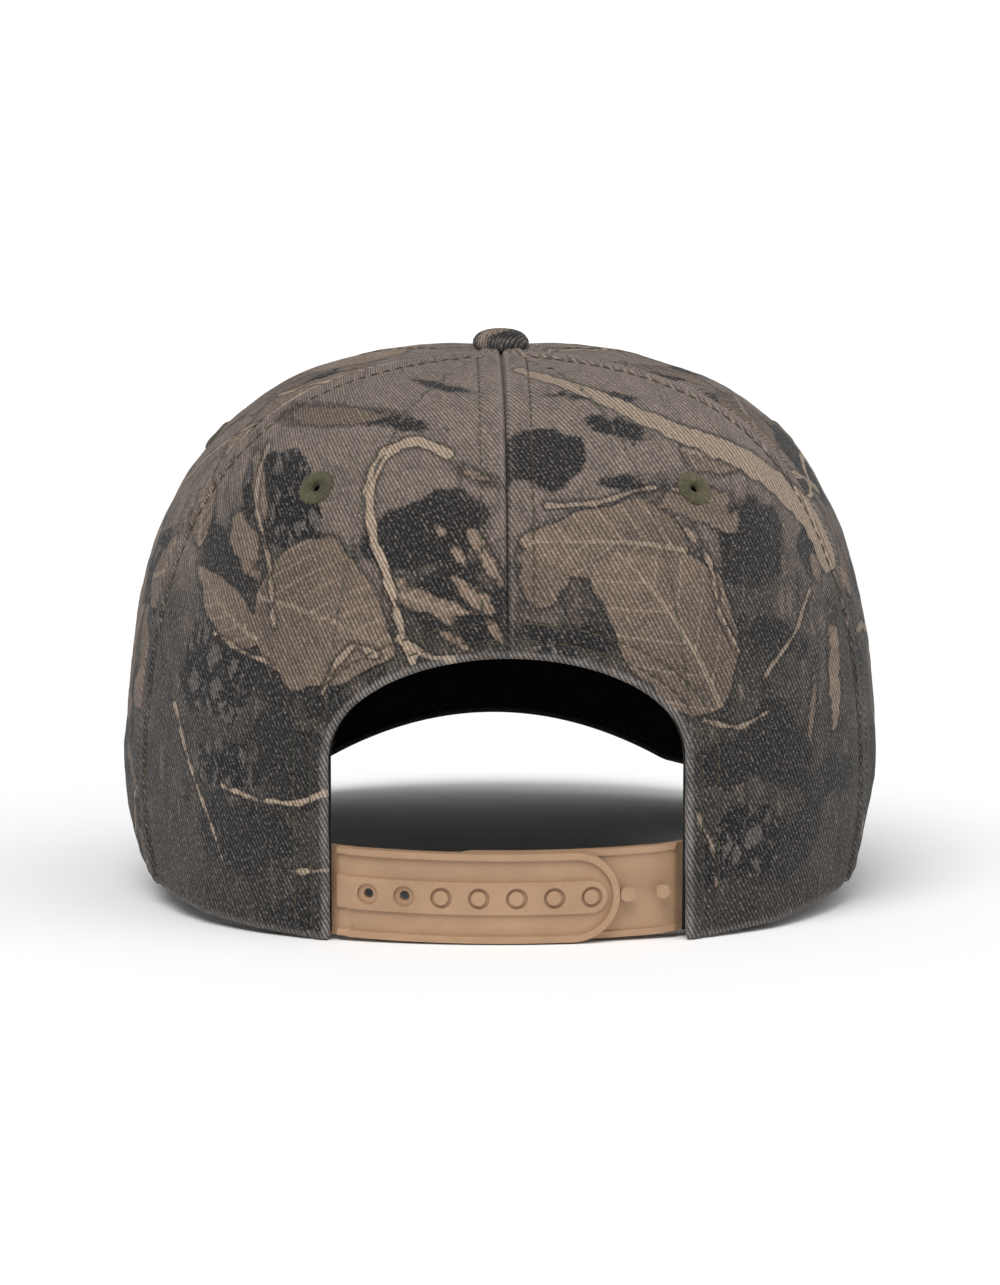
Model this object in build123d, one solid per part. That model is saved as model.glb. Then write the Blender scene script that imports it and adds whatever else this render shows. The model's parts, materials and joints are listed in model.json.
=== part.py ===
"""Structured six-panel camouflage cap with a rear arch and a moulded snap strap.

Frame: millimetres, +Z up, visor towards -Y, wearer's left is +X.  The cap stands on a floor at
z = 0 on the two side edges of its visor and on the rear ends of its hem.  All parts are drawn in
the hem frame, where the hem plane is z = 0, and are then tipped back by lean_angle.
"""
import os
from math import atan2, cos, degrees, hypot, pi, radians, sin, sqrt

from build123d import *

# ---- crown -------------------------------------------------------------------------------------
crown_half_width = 90.5
crown_rear_reach = 99.0
crown_front_reach = 96.5
crown_height = 121.8
hem_tuck = 5.0              # how far the hem's sides pull in below the widest level
hem_tuck_rear = 0.18        # share of that pull at the rear and the front
hem_tuck_height = 28.0
panel_thickness = 1.2
seam_gap = 0.3              # groove between neighbouring panels
hem_clearance = 0.6         # front hem over the visor's top face
hem_fade = 0.3              # how fast the hem comes down beside the visor, per degree
top_hole_radius = 5.5       # panels stop here, under the button
rear_seam_azimuth = (68.5, 50.0)     # rear/side seam at hem and at top, from the rear centre
front_seam_azimuth = (133.0, 119.0)  # side/front seam at hem and at top

# ---- linings -----------------------------------------------------------------------------------
layer_gap = 0.25
buckram_thickness = 0.8
tape_width = 16.0
tape_thickness = 0.6
tape_top_radius = 18.0
sweatband_height = 34.0
sweatband_thickness = 0.9
sweatband_depth = 3.6
sweatband_drop = 7.0        # how far its front edge covers the back of the visor
sweatband_start = 30.5      # azimuth of its two rear ends

# ---- rear opening ------------------------------------------------------------------------------
opening_half_width = 40.0
opening_straight = 42.0     # height of the straight sides
opening_rise = 24.0         # height of the half ellipse over them
binding_width = 11.0

# ---- visor -------------------------------------------------------------------------------------
visor_joint_height = 20.0   # top face over the hem plane at the front centre
visor_bend_radius = 100.0
visor_slope = 0.19
visor_half_width = 84.0
visor_length_from = 80.0    # the outline's centre lies this far in front of the crown's centre
visor_outline_length = 88.0
visor_outline_exponent = 2.3
visor_corner_taper = 0.12   # share by which the outline narrows back to the crown
visor_taper_from = 98.0     # y, towards the front, where that narrowing starts
visor_cover_thickness = 0.8
visor_board_thickness = 1.9
visor_back_inset = 2.8      # its back edge lies this far inside the crown's outer face
visor_layer_gap = 0.1

# ---- button and eyelets ------------------------------------------------------------------------
button_radius = 6.6
button_height = 4.8
button_cover_thickness = 0.6
rivet_radius = 1.9
rivet_flange_radius = 7.5
eyelet_outer_radius = 4.5
eyelet_hole_radius = 0.9
eyelet_height = 0.9
eyelet_level = 99.5
eyelet_azimuths = {"rear": 32.5, "side": 97.0, "front": 150.0}

# ---- snap strap --------------------------------------------------------------------------------
strap_radius = 100.0        # mid face of the outer strap's web, in plan
strap_rear = 94.9           # its y at the centre
strap_bottom = 1.0
strap_height = 20.6
strap_web = 1.2
strap_rim_width = 1.5
strap_rim_height = 0.9
inner_rim_height = 0.5
strap_step = 2.0            # the inner strap runs this much inside the outer strap
band_width = 7.4
band_height = 0.8
hole_pitch = 8.4
hole_count = 7
first_hole = 31.6           # x of the hole nearest the outer strap's root
hole_radius = 1.15
counterbore_radius = 2.45
peg_first = 14.9            # x of the innermost peg
peg_stem_radius = 0.95
peg_head_radius = 1.65
peg_length = 2.7
peg_head_length = 0.6
outer_root = 37.6           # x of the outer strap's bending line
inner_root = -37.6          # x of the inner strap's bending line
outer_tip = -25.3
inner_tip = 17.6
tab_length = 8.0
tab_depth = 2.15            # its outer face, from the crown's outer face at the hem
hinge_gap = 0.35


def visor_top(x, y):
    """Height of the visor's top face over the hem plane."""
    return visor_joint_height - x * x / (2 * visor_bend_radius) + visor_slope * (y + crown_front_reach)


def crown_radius(azimuth, z):
    """Distance of the crown's outer face from the crown's axis."""
    a = radians(azimuth)
    level = min(max(z, 0.0) / crown_height, 1.0)
    plan = 2.1 + 0.15 * level ** 2
    reach = crown_rear_reach if cos(a) > 0 else crown_front_reach
    widest = (abs(sin(a) / crown_half_width) ** plan + abs(cos(a) / reach) ** plan) ** (-1 / plan)
    bulge = 2.94 + 0.55 * cos(a) - 0.19 * cos(a) ** 2
    share = hem_tuck_rear + (1 - hem_tuck_rear) * sin(a) ** 4
    tuck = hem_tuck * share * max(0.0, 1 - z / hem_tuck_height) ** 2
    return widest * (1 - level ** bulge) ** (1 / bulge) - tuck


def crown_xyz(azimuth, z):
    a = radians(azimuth)
    r = crown_radius(azimuth, z)
    return Vector(r * sin(a), r * cos(a), z)


def hem_height(azimuth):
    """The hem lies in its plane and rises over the visor at the front."""
    z = 0.0
    if abs(azimuth) < 100:
        return z
    for _ in range(4):
        p = crown_xyz(azimuth, z)
        rise = visor_top(p.X, p.Y) + hem_clearance - hem_fade * max(0.0, 132.0 - azimuth)
        z = max(0.0, 0.5 * (rise + sqrt(rise * rise + 1.0)) - 0.05)
    return z


def profile(azimuth, bottom, end_radius, steps=90):
    """Points of the crown's outer face up one azimuth, with their running length."""
    a = radians(azimuth)
    points = [(bottom, crown_radius(azimuth, bottom))]
    for i in range(1, steps + 1):
        # equal steps of the polar angle keep both the wall and the crown's flat top well sampled
        turn = pi / 2 * i / steps
        low, high = bottom, crown_height
        for _ in range(40):
            mid = (low + high) / 2
            if atan2(mid - bottom, crown_radius(azimuth, mid)) < turn:
                low = mid
            else:
                high = mid
        points.append((low, max(crown_radius(azimuth, low), 0.0)))
    kept = [p for p in points if p[1] > end_radius]
    last = points[len(kept)] if len(kept) < len(points) else points[-1]
    f = (kept[-1][1] - end_radius) / max(kept[-1][1] - last[1], 1e-9)
    kept.append((kept[-1][0] + f * (last[0] - kept[-1][0]), end_radius))
    out, length = [], 0.0
    for i, (z, r) in enumerate(kept):
        if i:
            length += hypot(z - kept[i - 1][0], r - kept[i - 1][1])
        out.append((length, Vector(r * sin(a), r * cos(a), z)))
    return out


def along(points, fraction):
    """The point at a fraction of a profile's length."""
    target = fraction * points[-1][0]
    for (l0, p0), (l1, p1) in zip(points, points[1:]):
        if l1 >= target:
            return p0 + (p1 - p0) * ((target - l0) / max(l1 - l0, 1e-9))
    return points[-1][1]


def grid_normals(grid):
    """Outward unit normals of a grid of points on the crown."""
    rows, cols = len(grid), len(grid[0])
    normals = []
    for i in range(rows):
        row = []
        for j in range(cols):
            du = grid[min(i + 1, rows - 1)][j] - grid[max(i - 1, 0)][j]
            dv = grid[i][min(j + 1, cols - 1)] - grid[i][max(j - 1, 0)]
            n = du.cross(dv).normalized()
            outward = Vector(grid[i][j].X, grid[i][j].Y, 0.0) + Vector(0, 0, 40)
            row.append(n if n.dot(outward) > 0 else n * -1)
        normals.append(row)
    return normals


def slab(outer, inner):
    """Closed solid between two grids of points that face each other."""
    faces = [Face.make_surface_from_array_of_points(g, tol=0.02) for g in (outer, inner)]
    rims = []
    for face in faces:
        rims.append([face.edges().sort_by_distance(p)[0] for p in face_marks(face)])
    sides = [Face.make_surface_from_curves(a, b) for a, b in zip(rims[0], rims[1])]
    return Solid(Shell(faces + sides))


def face_marks(face):
    """Middles of the four sides of a gridded face, in parameter space."""
    return [face.position_at(u, v) for u, v in ((0, 0.5), (1, 0.5), (0.5, 0), (0.5, 1))]


def layer(grid, depth, thickness):
    """Closed solid that follows a grid of outer points, from depth to depth + thickness."""
    normals = grid_normals(grid)
    skins = []
    for d in (depth, depth + thickness):
        skins.append([[p - n * d for p, n in zip(row, n_row)] for row, n_row in zip(grid, normals)])
    return slab(*skins)


def mix(pair, fraction):
    return pair[0] + (pair[1] - pair[0]) * fraction


def seam_at(seam, share):
    """Azimuth of a seam at a share of the way from hem to top; it turns in towards the top."""
    return mix(seam, share ** 2)


def crown_grid(left, right, end_radius, inset=0.0, across=13, up=22, start=0.0):
    """Grid on the crown's outer face between two seams, each a pair of azimuths."""
    grid = []
    for j in range(up):
        s = start + (1 - start) * j / (up - 1)
        row = []
        for i in range(across):
            centre = mix((seam_at(left, s), seam_at(right, s)), i / (across - 1))
            p = along(profile(centre, hem_height(centre), end_radius), s)
            side = 1 - 2 * i / (across - 1)
            shift = degrees(inset * side / max(hypot(p.X, p.Y), 1.0))
            az = centre + shift if left[0] < right[0] else centre - shift
            row.append(along(profile(az, hem_height(az), end_radius), s))
        grid.append(row)
    return grid


def crown_panel(left, right):
    """One fabric panel, inset by half a seam gap on both sides."""
    grid = crown_grid(left, right, top_hole_radius, seam_gap / 2)
    return layer(grid, 0.0, panel_thickness)


def seam_tape(seam, depth, start=0.03):
    """Tape over the inside of one seam."""
    grid = []
    up, across = 16, 5
    for j in range(up):
        s = start + (1 - start) * j / (up - 1)
        az = seam_at(seam, s)
        p = along(profile(az, hem_height(az), tape_top_radius), s)
        row = []
        for i in range(across):
            shift = degrees(tape_width * (i / (across - 1) - 0.5) / max(hypot(p.X, p.Y), 1.0))
            row.append(along(profile(az + shift, hem_height(az + shift), tape_top_radius), s))
        grid.append(row)
    return layer(grid, depth, tape_thickness)


def mirrored(solid):
    return mirror(solid, about=Plane.YZ)


def opening_prism(grow=0.0):
    """Arched cutter along Y with the outline of the rear opening."""
    half = opening_half_width + grow
    with BuildSketch(Plane.XZ) as outline:
        Rectangle(2 * half, opening_straight + 10, align=(Align.CENTER, Align.MIN))
        with Locations((0, opening_straight + 10)):
            Ellipse(half, opening_rise + grow)
    prism = extrude(outline.sketch, amount=-200)
    return Pos(0, 0, -10) * prism


def rear_rim_layer(depth, thickness, reach, top):
    """Layer of the rear of the crown, wide enough to be trimmed to the opening's outline."""
    grid = []
    for j in range(14):
        row = []
        for i in range(25):
            azimuth = -reach + 2 * reach * i / 24
            row.append(crown_xyz(azimuth, top * j / 13))
        grid.append(row)
    return layer(grid, depth, thickness)


def sweatband():
    """Band around the inside of the hem, open at the rear."""
    grid = []
    for j in range(7):
        row = []
        for i in range(61):
            azimuth = sweatband_start + (360 - 2 * sweatband_start) * i / 60
            azimuth = azimuth if azimuth <= 180 else azimuth - 360
            hem = hem_height(abs(azimuth))
            front = hem / hem_height(180.0)
            bottom = hem - sweatband_drop * min(1.55 - 0.55 * front, 2.1 * front)
            row.append(crown_xyz(azimuth, bottom + sweatband_height * j / 6))
        grid.append(row)
    return layer(grid, sweatband_depth, sweatband_thickness)


def visor_grid(depth, edge_inset):
    """Grid on the visor, from the crown's hem out to the visor's free edge."""
    ahead, exponent = visor_outline_length - edge_inset, 2 / visor_outline_exponent
    back_limit, front_limit = 137.0 + edge_inset * 0.6, radians(5.5 - edge_inset)
    grid = []
    for i in range(41):
        u = -1 + 2 * i / 40
        azimuth = 180 - (180 - back_limit) * abs(u)
        r = crown_radius(azimuth, hem_height(azimuth)) - visor_back_inset + edge_inset * 0.3
        back_x, back_y = r * sin(radians(azimuth)), r * cos(radians(azimuth))
        turn = pi / 2 - (pi / 2 + front_limit) * abs(u)
        front_x = (visor_half_width - edge_inset) * abs(cos(turn)) ** exponent
        lift = abs(sin(turn)) ** exponent * (1 if turn > 0 else -1)
        front_y = -visor_length_from - ahead * lift
        front_x *= 1 - visor_corner_taper * max(0.0, (front_y + visor_taper_from) / 32.0) ** 2
        row = []
        for j in range(13):
            v = j / 12
            x = (back_x + (front_x - back_x) * v) * (1 if u >= 0 else -1)
            y = back_y + (front_y - back_y) * v
            row.append(Vector(x, y, visor_top(x, y) - depth))
        grid.append(row)
    return grid


def visor_layer(depth, thickness, edge_inset):
    return slab(visor_grid(depth, edge_inset), visor_grid(depth + thickness, edge_inset))


def crown_frame(azimuth, level):
    """Plane on the crown's outer face with its Z axis outwards."""
    step = 0.5
    p = crown_xyz(azimuth, level)
    up = crown_xyz(azimuth, level + step) - crown_xyz(azimuth, level - step)
    side = crown_xyz(azimuth + step, level) - crown_xyz(azimuth - step, level)
    n = up.cross(side)
    n = n if n.dot(Vector(p.X, p.Y, 0)) > 0 else n * -1
    return Plane(origin=p, x_dir=side, z_dir=n)


def eyelet(azimuth):
    """Embroidered ring with a rounded top."""
    with BuildPart() as ring:
        with BuildSketch(Plane.XZ) as section:
            with BuildLine():
                Polyline((eyelet_hole_radius, 0.06), (eyelet_outer_radius, 0.06))
                ThreePointArc(
                    (eyelet_outer_radius, 0.06),
                    ((eyelet_outer_radius + eyelet_hole_radius) / 2, eyelet_height),
                    (eyelet_hole_radius, 0.06),
                )
            make_face()
        revolve(axis=Axis.Z)
    return crown_frame(azimuth, eyelet_level).location * ring.part


def eyelet_hole(azimuth):
    return crown_frame(azimuth, eyelet_level).location * Cylinder(eyelet_hole_radius, 12)


def dome(radius, height, base):
    """Flattened mushroom solid of revolution with a rounded brim."""
    brim = 0.35 * height
    with BuildPart() as body:
        with BuildSketch(Plane.XZ):
            with BuildLine():
                Polyline((0, 0), (radius - 0.7, 0))
                ThreePointArc((radius - 0.7, 0), (radius - 0.1, 0.15 * height), (radius, brim))
                Spline(
                    (radius, brim), (0.8 * radius, 0.76 * height), (0, height),
                    tangents=((0, 1), (-1, 0)),
                )
                Line((0, height), (0, 0))
            make_face()
        revolve(axis=Axis.Z)
    return Pos(0, 0, base) * body.part


def button_parts():
    """Fabric cover, its metal shell, and the rivet that clamps both to the crown."""
    base = crown_height + 0.1
    inner = dome(button_radius - button_cover_thickness - 0.05, button_height - 1.3, base)
    cover = dome(button_radius, button_height, base)
    cover -= dome(button_radius - button_cover_thickness, button_height - 1.2, base - 0.01)
    shell = inner - Pos(0, 0, base - 1) * Cylinder(
        rivet_radius + 0.1, 3.2, align=(Align.CENTER, Align.CENTER, Align.MIN)
    )
    stem_length = panel_thickness + 2.9
    rivet = Pos(0, 0, base + 2.0 - stem_length) * Cylinder(
        rivet_radius, stem_length, align=(Align.CENTER, Align.CENTER, Align.MIN)
    )
    flange_top = crown_height - panel_thickness - 0.25
    rivet += Pos(0, 0, flange_top - 0.7) * Cylinder(
        rivet_flange_radius, 0.7, align=(Align.CENTER, Align.CENTER, Align.MIN)
    )
    return cover, shell, rivet


def strap_shell(inside, outside, z0, height):
    """Part of a tube wall about the strap's axis of curvature."""
    centre_y = strap_rear - strap_radius
    place = Pos(0, centre_y, z0)
    low = (Align.CENTER, Align.CENTER, Align.MIN)
    return place * (Cylinder(outside, height, align=low) - Cylinder(inside, height, align=low))


def strap_outline(root, tip, shrink=0.0):
    """Prism along Y with a square root and a half-round tip."""
    middle = strap_bottom + strap_height / 2
    half = strap_height / 2 - shrink
    way = 1 if tip > root else -1
    end = tip - way * shrink
    centre = end - way * half
    with BuildSketch(Plane.XZ) as outline:
        with Locations(((root + centre) / 2, middle)):
            Rectangle(abs(centre - root), 2 * half)
        with Locations((centre, middle)):
            Circle(half)
    return extrude(outline.sketch, amount=-150)


def strap_axis(x, radius):
    """Plane at one place along the strap with its Z axis outwards."""
    angle = x / strap_radius
    centre_y = strap_rear - strap_radius
    middle = strap_bottom + strap_height / 2
    outwards = Vector(sin(angle), cos(angle), 0)
    return Plane(
        origin=Vector(0, centre_y, middle) + outwards * radius, x_dir=(0, 0, 1), z_dir=outwards
    ).location


def hinge_point(root, radius):
    """Bending line of a strap, in plan, on the mid face of its web."""
    return root, strap_rear - strap_radius + sqrt(radius ** 2 - root ** 2)


def outer_strap():
    """Half with the holes: a web with a raised rim and a raised band of counterbored holes."""
    inside, outside = strap_radius - strap_web / 2, strap_radius + strap_web / 2
    body = strap_shell(inside, outside, 0, 40) & strap_outline(outer_root, outer_tip)
    rim_start = outer_root - 1.6
    rim = strap_outline(rim_start, outer_tip)
    rim -= strap_outline(rim_start + 5, outer_tip, strap_rim_width)
    body += strap_shell(outside - 0.1, outside + strap_rim_height, 0, 40) & rim
    band_tip = first_hole - hole_pitch * (hole_count - 1) - band_width / 2
    shrink = (strap_height - band_width) / 2
    band = strap_outline(rim_start, band_tip - shrink, shrink)
    body += strap_shell(outside - 0.1, outside + band_height, 0, 40) & band
    x, y = hinge_point(outer_root, strap_radius)
    body += Pos(x, y, strap_bottom) * Cylinder(
        strap_web / 2, strap_height, align=(Align.CENTER, Align.CENTER, Align.MIN)
    )
    for i in range(hole_count):
        at = first_hole - i * hole_pitch
        body -= strap_axis(at, strap_radius) * Cylinder(hole_radius, 6)
        body -= strap_axis(at, outside) * Cylinder(
            counterbore_radius, 3, align=(Align.CENTER, Align.CENTER, Align.MIN)
        )
    return body


def inner_strap():
    """Half with the pegs: a web with low rims and a row of headed pegs."""
    radius = strap_radius - strap_step
    inside, outside = radius - strap_web / 2, radius + strap_web / 2
    body = strap_shell(inside, outside, 0, 40) & strap_outline(inner_root, inner_tip)
    rim_start = inner_root + 1.6
    rim = strap_outline(rim_start, inner_tip) - strap_outline(rim_start - 5, inner_tip, strap_rim_width)
    body += strap_shell(outside - 0.1, outside + inner_rim_height, 0, 40) & rim
    x, y = hinge_point(inner_root, radius)
    body += Pos(x, y, strap_bottom) * Cylinder(
        strap_web / 2, strap_height, align=(Align.CENTER, Align.CENTER, Align.MIN)
    )
    low = (Align.CENTER, Align.CENTER, Align.MIN)
    for i in range(hole_count):
        place = strap_axis(peg_first - i * hole_pitch, outside - 0.1)
        body += place * Cylinder(peg_stem_radius, peg_length, align=low)
        head = Pos(0, 0, peg_length + 0.1 - peg_head_length) * Cylinder(
            peg_head_radius, peg_head_length, align=low
        )
        body += place * head
    return body


def strap_tab(root, depth):
    """Sewn end of a strap, inside the crown's hem, with its edge short of the bending line."""
    way = 1 if root > 0 else -1
    start = abs(root) + strap_web / 2 + hinge_gap
    rows = []
    for d in (depth, depth + strap_web):
        row = []
        for azimuth in (18, 22, 26, 30, 34):
            p, ahead = crown_xyz(azimuth, 0), crown_xyz(azimuth + 1, 0)
            inwards = Vector(ahead.Y - p.Y, p.X - ahead.X, 0).normalized()
            row.append(p + inwards * d)
        rows.append([Vector(p.X * way, p.Y, strap_bottom) for p in row])
    with BuildSketch(Plane.XY.offset(strap_bottom)) as section:
        with BuildLine():
            outer, inner = Spline(*rows[0]), Spline(*rows[1])
            Line(outer @ 0, inner @ 0)
            Line(outer @ 1, inner @ 1)
        make_face()
    width = Pos(way * (start + tab_length / 2), 80, 0) * Box(tab_length, 60, 100)
    return extrude(section.sketch, amount=strap_height) & width


def lean_angle():
    """Tip of the hem plane when the cap stands on its rear hem and the sides of its visor."""
    depth = 2 * visor_cover_thickness + visor_board_thickness + 2 * visor_layer_gap
    best = 0.0
    for row in visor_grid(depth, 0.0):
        edge = row[-1]
        best = max(best, atan2(-edge.Z, rear_foot() - edge.Y))
    return degrees(best)


def rear_foot():
    """How far back the hem reaches beside the opening."""
    azimuth = degrees(atan2(opening_half_width, crown_rear_reach - hem_tuck))
    return crown_xyz(azimuth, 0).Y


def build_all():
    """All nodes in the hem frame, by name."""
    nodes = {}
    rear = ((0.0, 0.0), rear_seam_azimuth)
    side = (rear_seam_azimuth, front_seam_azimuth)
    front = (front_seam_azimuth, (180.0, 180.0))
    opening = opening_prism()
    for name, (a, b) in (("rear_panel", rear), ("side_panel", side), ("front_panel", front)):
        panel = crown_panel(a, b) - eyelet_hole(eyelet_azimuths[name.split("_")[0]])
        if name == "rear_panel":
            panel -= opening
        nodes[name + "_left"] = panel
        nodes[name + "_right"] = mirrored(panel)
    depth = panel_thickness + layer_gap
    buckram_grid = crown_grid(front_seam_azimuth, (180.0, 180.0), tape_top_radius, 0.6, start=0.025)
    buckram = layer(buckram_grid, depth, buckram_thickness)
    buckram -= eyelet_hole(eyelet_azimuths["front"])
    nodes["buckram_left"], nodes["buckram_right"] = buckram, mirrored(buckram)

    inner = depth + buckram_thickness + layer_gap
    nodes["seam_tape_front"] = seam_tape((180.0, 180.0), inner)
    nodes["seam_tape_rear"] = seam_tape((0.0, 0.0), depth) - opening_prism(binding_width + 0.3)
    tape = seam_tape(front_seam_azimuth, inner)
    nodes["seam_tape_front_left"], nodes["seam_tape_front_right"] = tape, mirrored(tape)
    tape = seam_tape(rear_seam_azimuth, depth)
    nodes["seam_tape_side_left"], nodes["seam_tape_side_right"] = tape, mirrored(tape)
    nodes["sweatband"] = sweatband()
    binding = rear_rim_layer(depth, tape_thickness, 38.0, 82.0)
    nodes["arch_binding"] = (binding & opening_prism(binding_width)) - opening

    skins = visor_cover_thickness + visor_layer_gap
    nodes["visor_upper_cover"] = visor_layer(0.0, visor_cover_thickness, 0.0)
    nodes["visor_board"] = visor_layer(skins, visor_board_thickness, 2.5)
    nodes["visor_lower_cover"] = visor_layer(
        skins + visor_board_thickness + visor_layer_gap, visor_cover_thickness, 0.0
    )
    nodes["button_cover"], nodes["button_shell"], nodes["button_rivet"] = button_parts()
    for place, azimuth in eyelet_azimuths.items():
        ring = eyelet(azimuth)
        nodes[f"eyelet_{place}_left"], nodes[f"eyelet_{place}_right"] = ring, mirrored(ring)

    nodes["outer_strap"] = outer_strap()
    nodes["outer_strap_tab"] = strap_tab(outer_root, tab_depth)
    nodes["inner_strap"] = inner_strap()
    nodes["inner_strap_tab"] = strap_tab(inner_root, tab_depth + strap_step)
    return nodes


def stand_on_floor(nodes):
    """Lean the nodes back and put the origin under the middle of their overall box."""
    foot = rear_foot()
    lean = Pos(0, foot, 0) * Rot(-lean_angle(), 0, 0) * Pos(0, -foot, 0)
    leaned = {name: lean * solid for name, solid in nodes.items()}
    surface = [point for solid in leaned.values() for point in solid.tessellate(0.05)[0]]
    front, rear = min(p.Y for p in surface), max(p.Y for p in surface)
    shift = Pos(0, -(front + rear) / 2, -min(p.Z for p in surface))
    return {name: shift * solid for name, solid in leaned.items()}, shift * lean


def main():
    os.makedirs("parts", exist_ok=True)
    nodes, _ = stand_on_floor(build_all())
    for name, solid in nodes.items():
        export_step(solid, f"parts/{name}.step")


main()
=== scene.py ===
"""Camouflage snapback cap on a pale floor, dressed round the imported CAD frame.

Shapes are worked out in millimetres in the hem frame (hem plane at z = 0, the crown's axis at x = y = 0,
the rear opening towards +Y). to_row() turns them into metres in the shared frame.
"""
import json
import math

import bpy
import numpy as np
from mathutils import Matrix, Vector


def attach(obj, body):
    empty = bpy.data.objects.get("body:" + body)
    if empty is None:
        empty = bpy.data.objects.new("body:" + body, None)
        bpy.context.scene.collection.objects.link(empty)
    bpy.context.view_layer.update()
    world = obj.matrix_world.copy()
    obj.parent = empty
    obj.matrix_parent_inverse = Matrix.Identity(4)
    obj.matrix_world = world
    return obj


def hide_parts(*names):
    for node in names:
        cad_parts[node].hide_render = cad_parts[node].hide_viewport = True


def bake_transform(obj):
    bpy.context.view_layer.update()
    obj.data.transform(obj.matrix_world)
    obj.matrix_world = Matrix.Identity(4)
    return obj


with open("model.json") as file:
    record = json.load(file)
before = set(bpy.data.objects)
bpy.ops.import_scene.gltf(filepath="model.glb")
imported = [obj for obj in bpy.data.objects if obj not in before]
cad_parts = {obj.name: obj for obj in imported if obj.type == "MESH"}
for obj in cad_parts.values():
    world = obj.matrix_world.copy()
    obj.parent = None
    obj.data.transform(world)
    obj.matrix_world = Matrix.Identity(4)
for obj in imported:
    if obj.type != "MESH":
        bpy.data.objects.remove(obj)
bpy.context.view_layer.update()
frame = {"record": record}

MM = 0.001
SIDES = (("left", 1.0), ("right", -1.0))          # the wearer's, and the sign of x there

# ---- sizes, as in the CAD
CROWN_HALF_WIDTH = 90.5
CROWN_REAR = 99.0
CROWN_FRONT = 96.5
CROWN_HEIGHT = 121.8
HEM_TUCK = 5.0
HEM_TUCK_SHARE = 0.18
HEM_TUCK_HEIGHT = 28.0
REAR_SEAM = (68.5, 50.0)        # azimuths at hem and top, from the rear centre
FRONT_SEAM = (133.0, 119.0)
CENTRE_REAR = (0.0, 0.0)
CENTRE_FRONT = (180.0, 180.0)
TOP_RADIUS = 3.0

OPENING_HALF = 40.0
OPENING_STRAIGHT = 42.0
OPENING_RISE = 24.0

SWEATBAND_ENDS = (30.5, 329.5)  # azimuths
SWEATBAND_DROP = 7.0
SWEATBAND_HEIGHT = 33.0
SWEATBAND_HALF = 1.9            # half its thickness
SWEATBAND_DEPTH = 3.3           # of its middle, behind the crown's outer face
PIPING_RADIUS = 0.75

EYELET_LEVEL = 99.5
EYELETS = {"rear": 32.5, "side": 97.0, "front": 150.0}
EYELET_OUTER, EYELET_INNER, EYELET_CUT = 4.5, 1.0, 2.3
EYELET_THREADS = 58

STRAP_CENTRE = -5.1             # y of the strap's centre of curvature
STRAP_BOTTOM = 1.0
STRAP_HEIGHT = 20.6
STRAP_WEB = 1.2
STRAP_RIM = 1.5
STRAP_BAND = 7.4
STRAP_BEND = (37.2, 39.2)       # x over which a strap's arc passes into its sewn tab
STRAP_RAISED = (38.1, 37.6)     # x over which its rim and band rise

VISOR_JOINT = 20.0
VISOR_BEND = 100.0
VISOR_SLOPE = 0.19
VISOR_HALF = 84.0
VISOR_FROM = 80.0
VISOR_LENGTH = 88.0
VISOR_POWER = 2.3
VISOR_TAPER = 0.12
VISOR_TAPER_FROM = 98.0
VISOR_TAPER_REACH = 32.0
VISOR_THICKNESS = 3.7
VISOR_ROWS = [5.0 + 6.0 * k for k in range(8)]      # stitching, inwards from the edge
VISOR_SKIN = 0.05               # the covers stand this far off the board
VISOR_PRINT_SHIFT = 175.0

# ---- cloth and thread
FABRIC = 0.55                   # thickness of one layer of twill
FOLD_RADIUS = 0.95
HEM_FLAP = 8.0
LINING_DEPTH = 1.25             # behind the crown's outer face
OVER_BUCKRAM = LINING_DEPTH + 1.1
TAPE_HALF = 8.0
TAPE_STITCH = 6.4
BINDING_FROM, BINDING_TO = 0.6, 11.0                # outwards from the opening's edge
TWILL_PITCH = 0.92
STITCH_OFFSET = 5.8             # topstitch rows beside each crown seam
ARCH_ROWS = (4.0, 7.6)          # topstitch rows round the opening
STITCH_PITCH = 3.2
ARCH_STITCH_PITCH = 3.1
STITCH_LENGTH = 2.6
STITCH_RADIUS = 0.21
CLOTH_THICKNESS = {"lining": 0.4, "buckram": 0.7, "visor": 0.5, "button": 0.4}
FAR = 30.0                      # a print field's value away from every shape
COVERS = 0.8                    # a leaf hides the leaves under it this far outside its edge

head_opening = next(m for m in frame["record"]["mounts"] if m["name"] == "head_opening")
hem_origin, hem_down = np.array(head_opening["pos_m"], float), head_opening["axis"]
lean = math.atan2(-hem_down[1], -hem_down[2])


def to_row(points):
    """Hem-frame millimetres to row-frame metres."""
    p = np.asarray(points, float) * MM
    y = p[..., 1] * math.cos(lean) + p[..., 2] * math.sin(lean)
    z = -p[..., 1] * math.sin(lean) + p[..., 2] * math.cos(lean)
    return np.stack([p[..., 0], y, z], -1) + hem_origin


# ---- small helpers
def unit(vectors):
    """Vectors scaled to length one."""
    return vectors / np.maximum(np.linalg.norm(vectors, axis=-1, keepdims=True), 1e-9)


def polar(azimuth, r, *more):
    """Places at azimuths in degrees and distances from the axis, with any further coordinates."""
    a = np.radians(azimuth)
    return np.stack([r * np.sin(a), r * np.cos(a), *more], -1)


def mix(pair, share):
    return pair[0] + (pair[1] - pair[0]) * share


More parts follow.
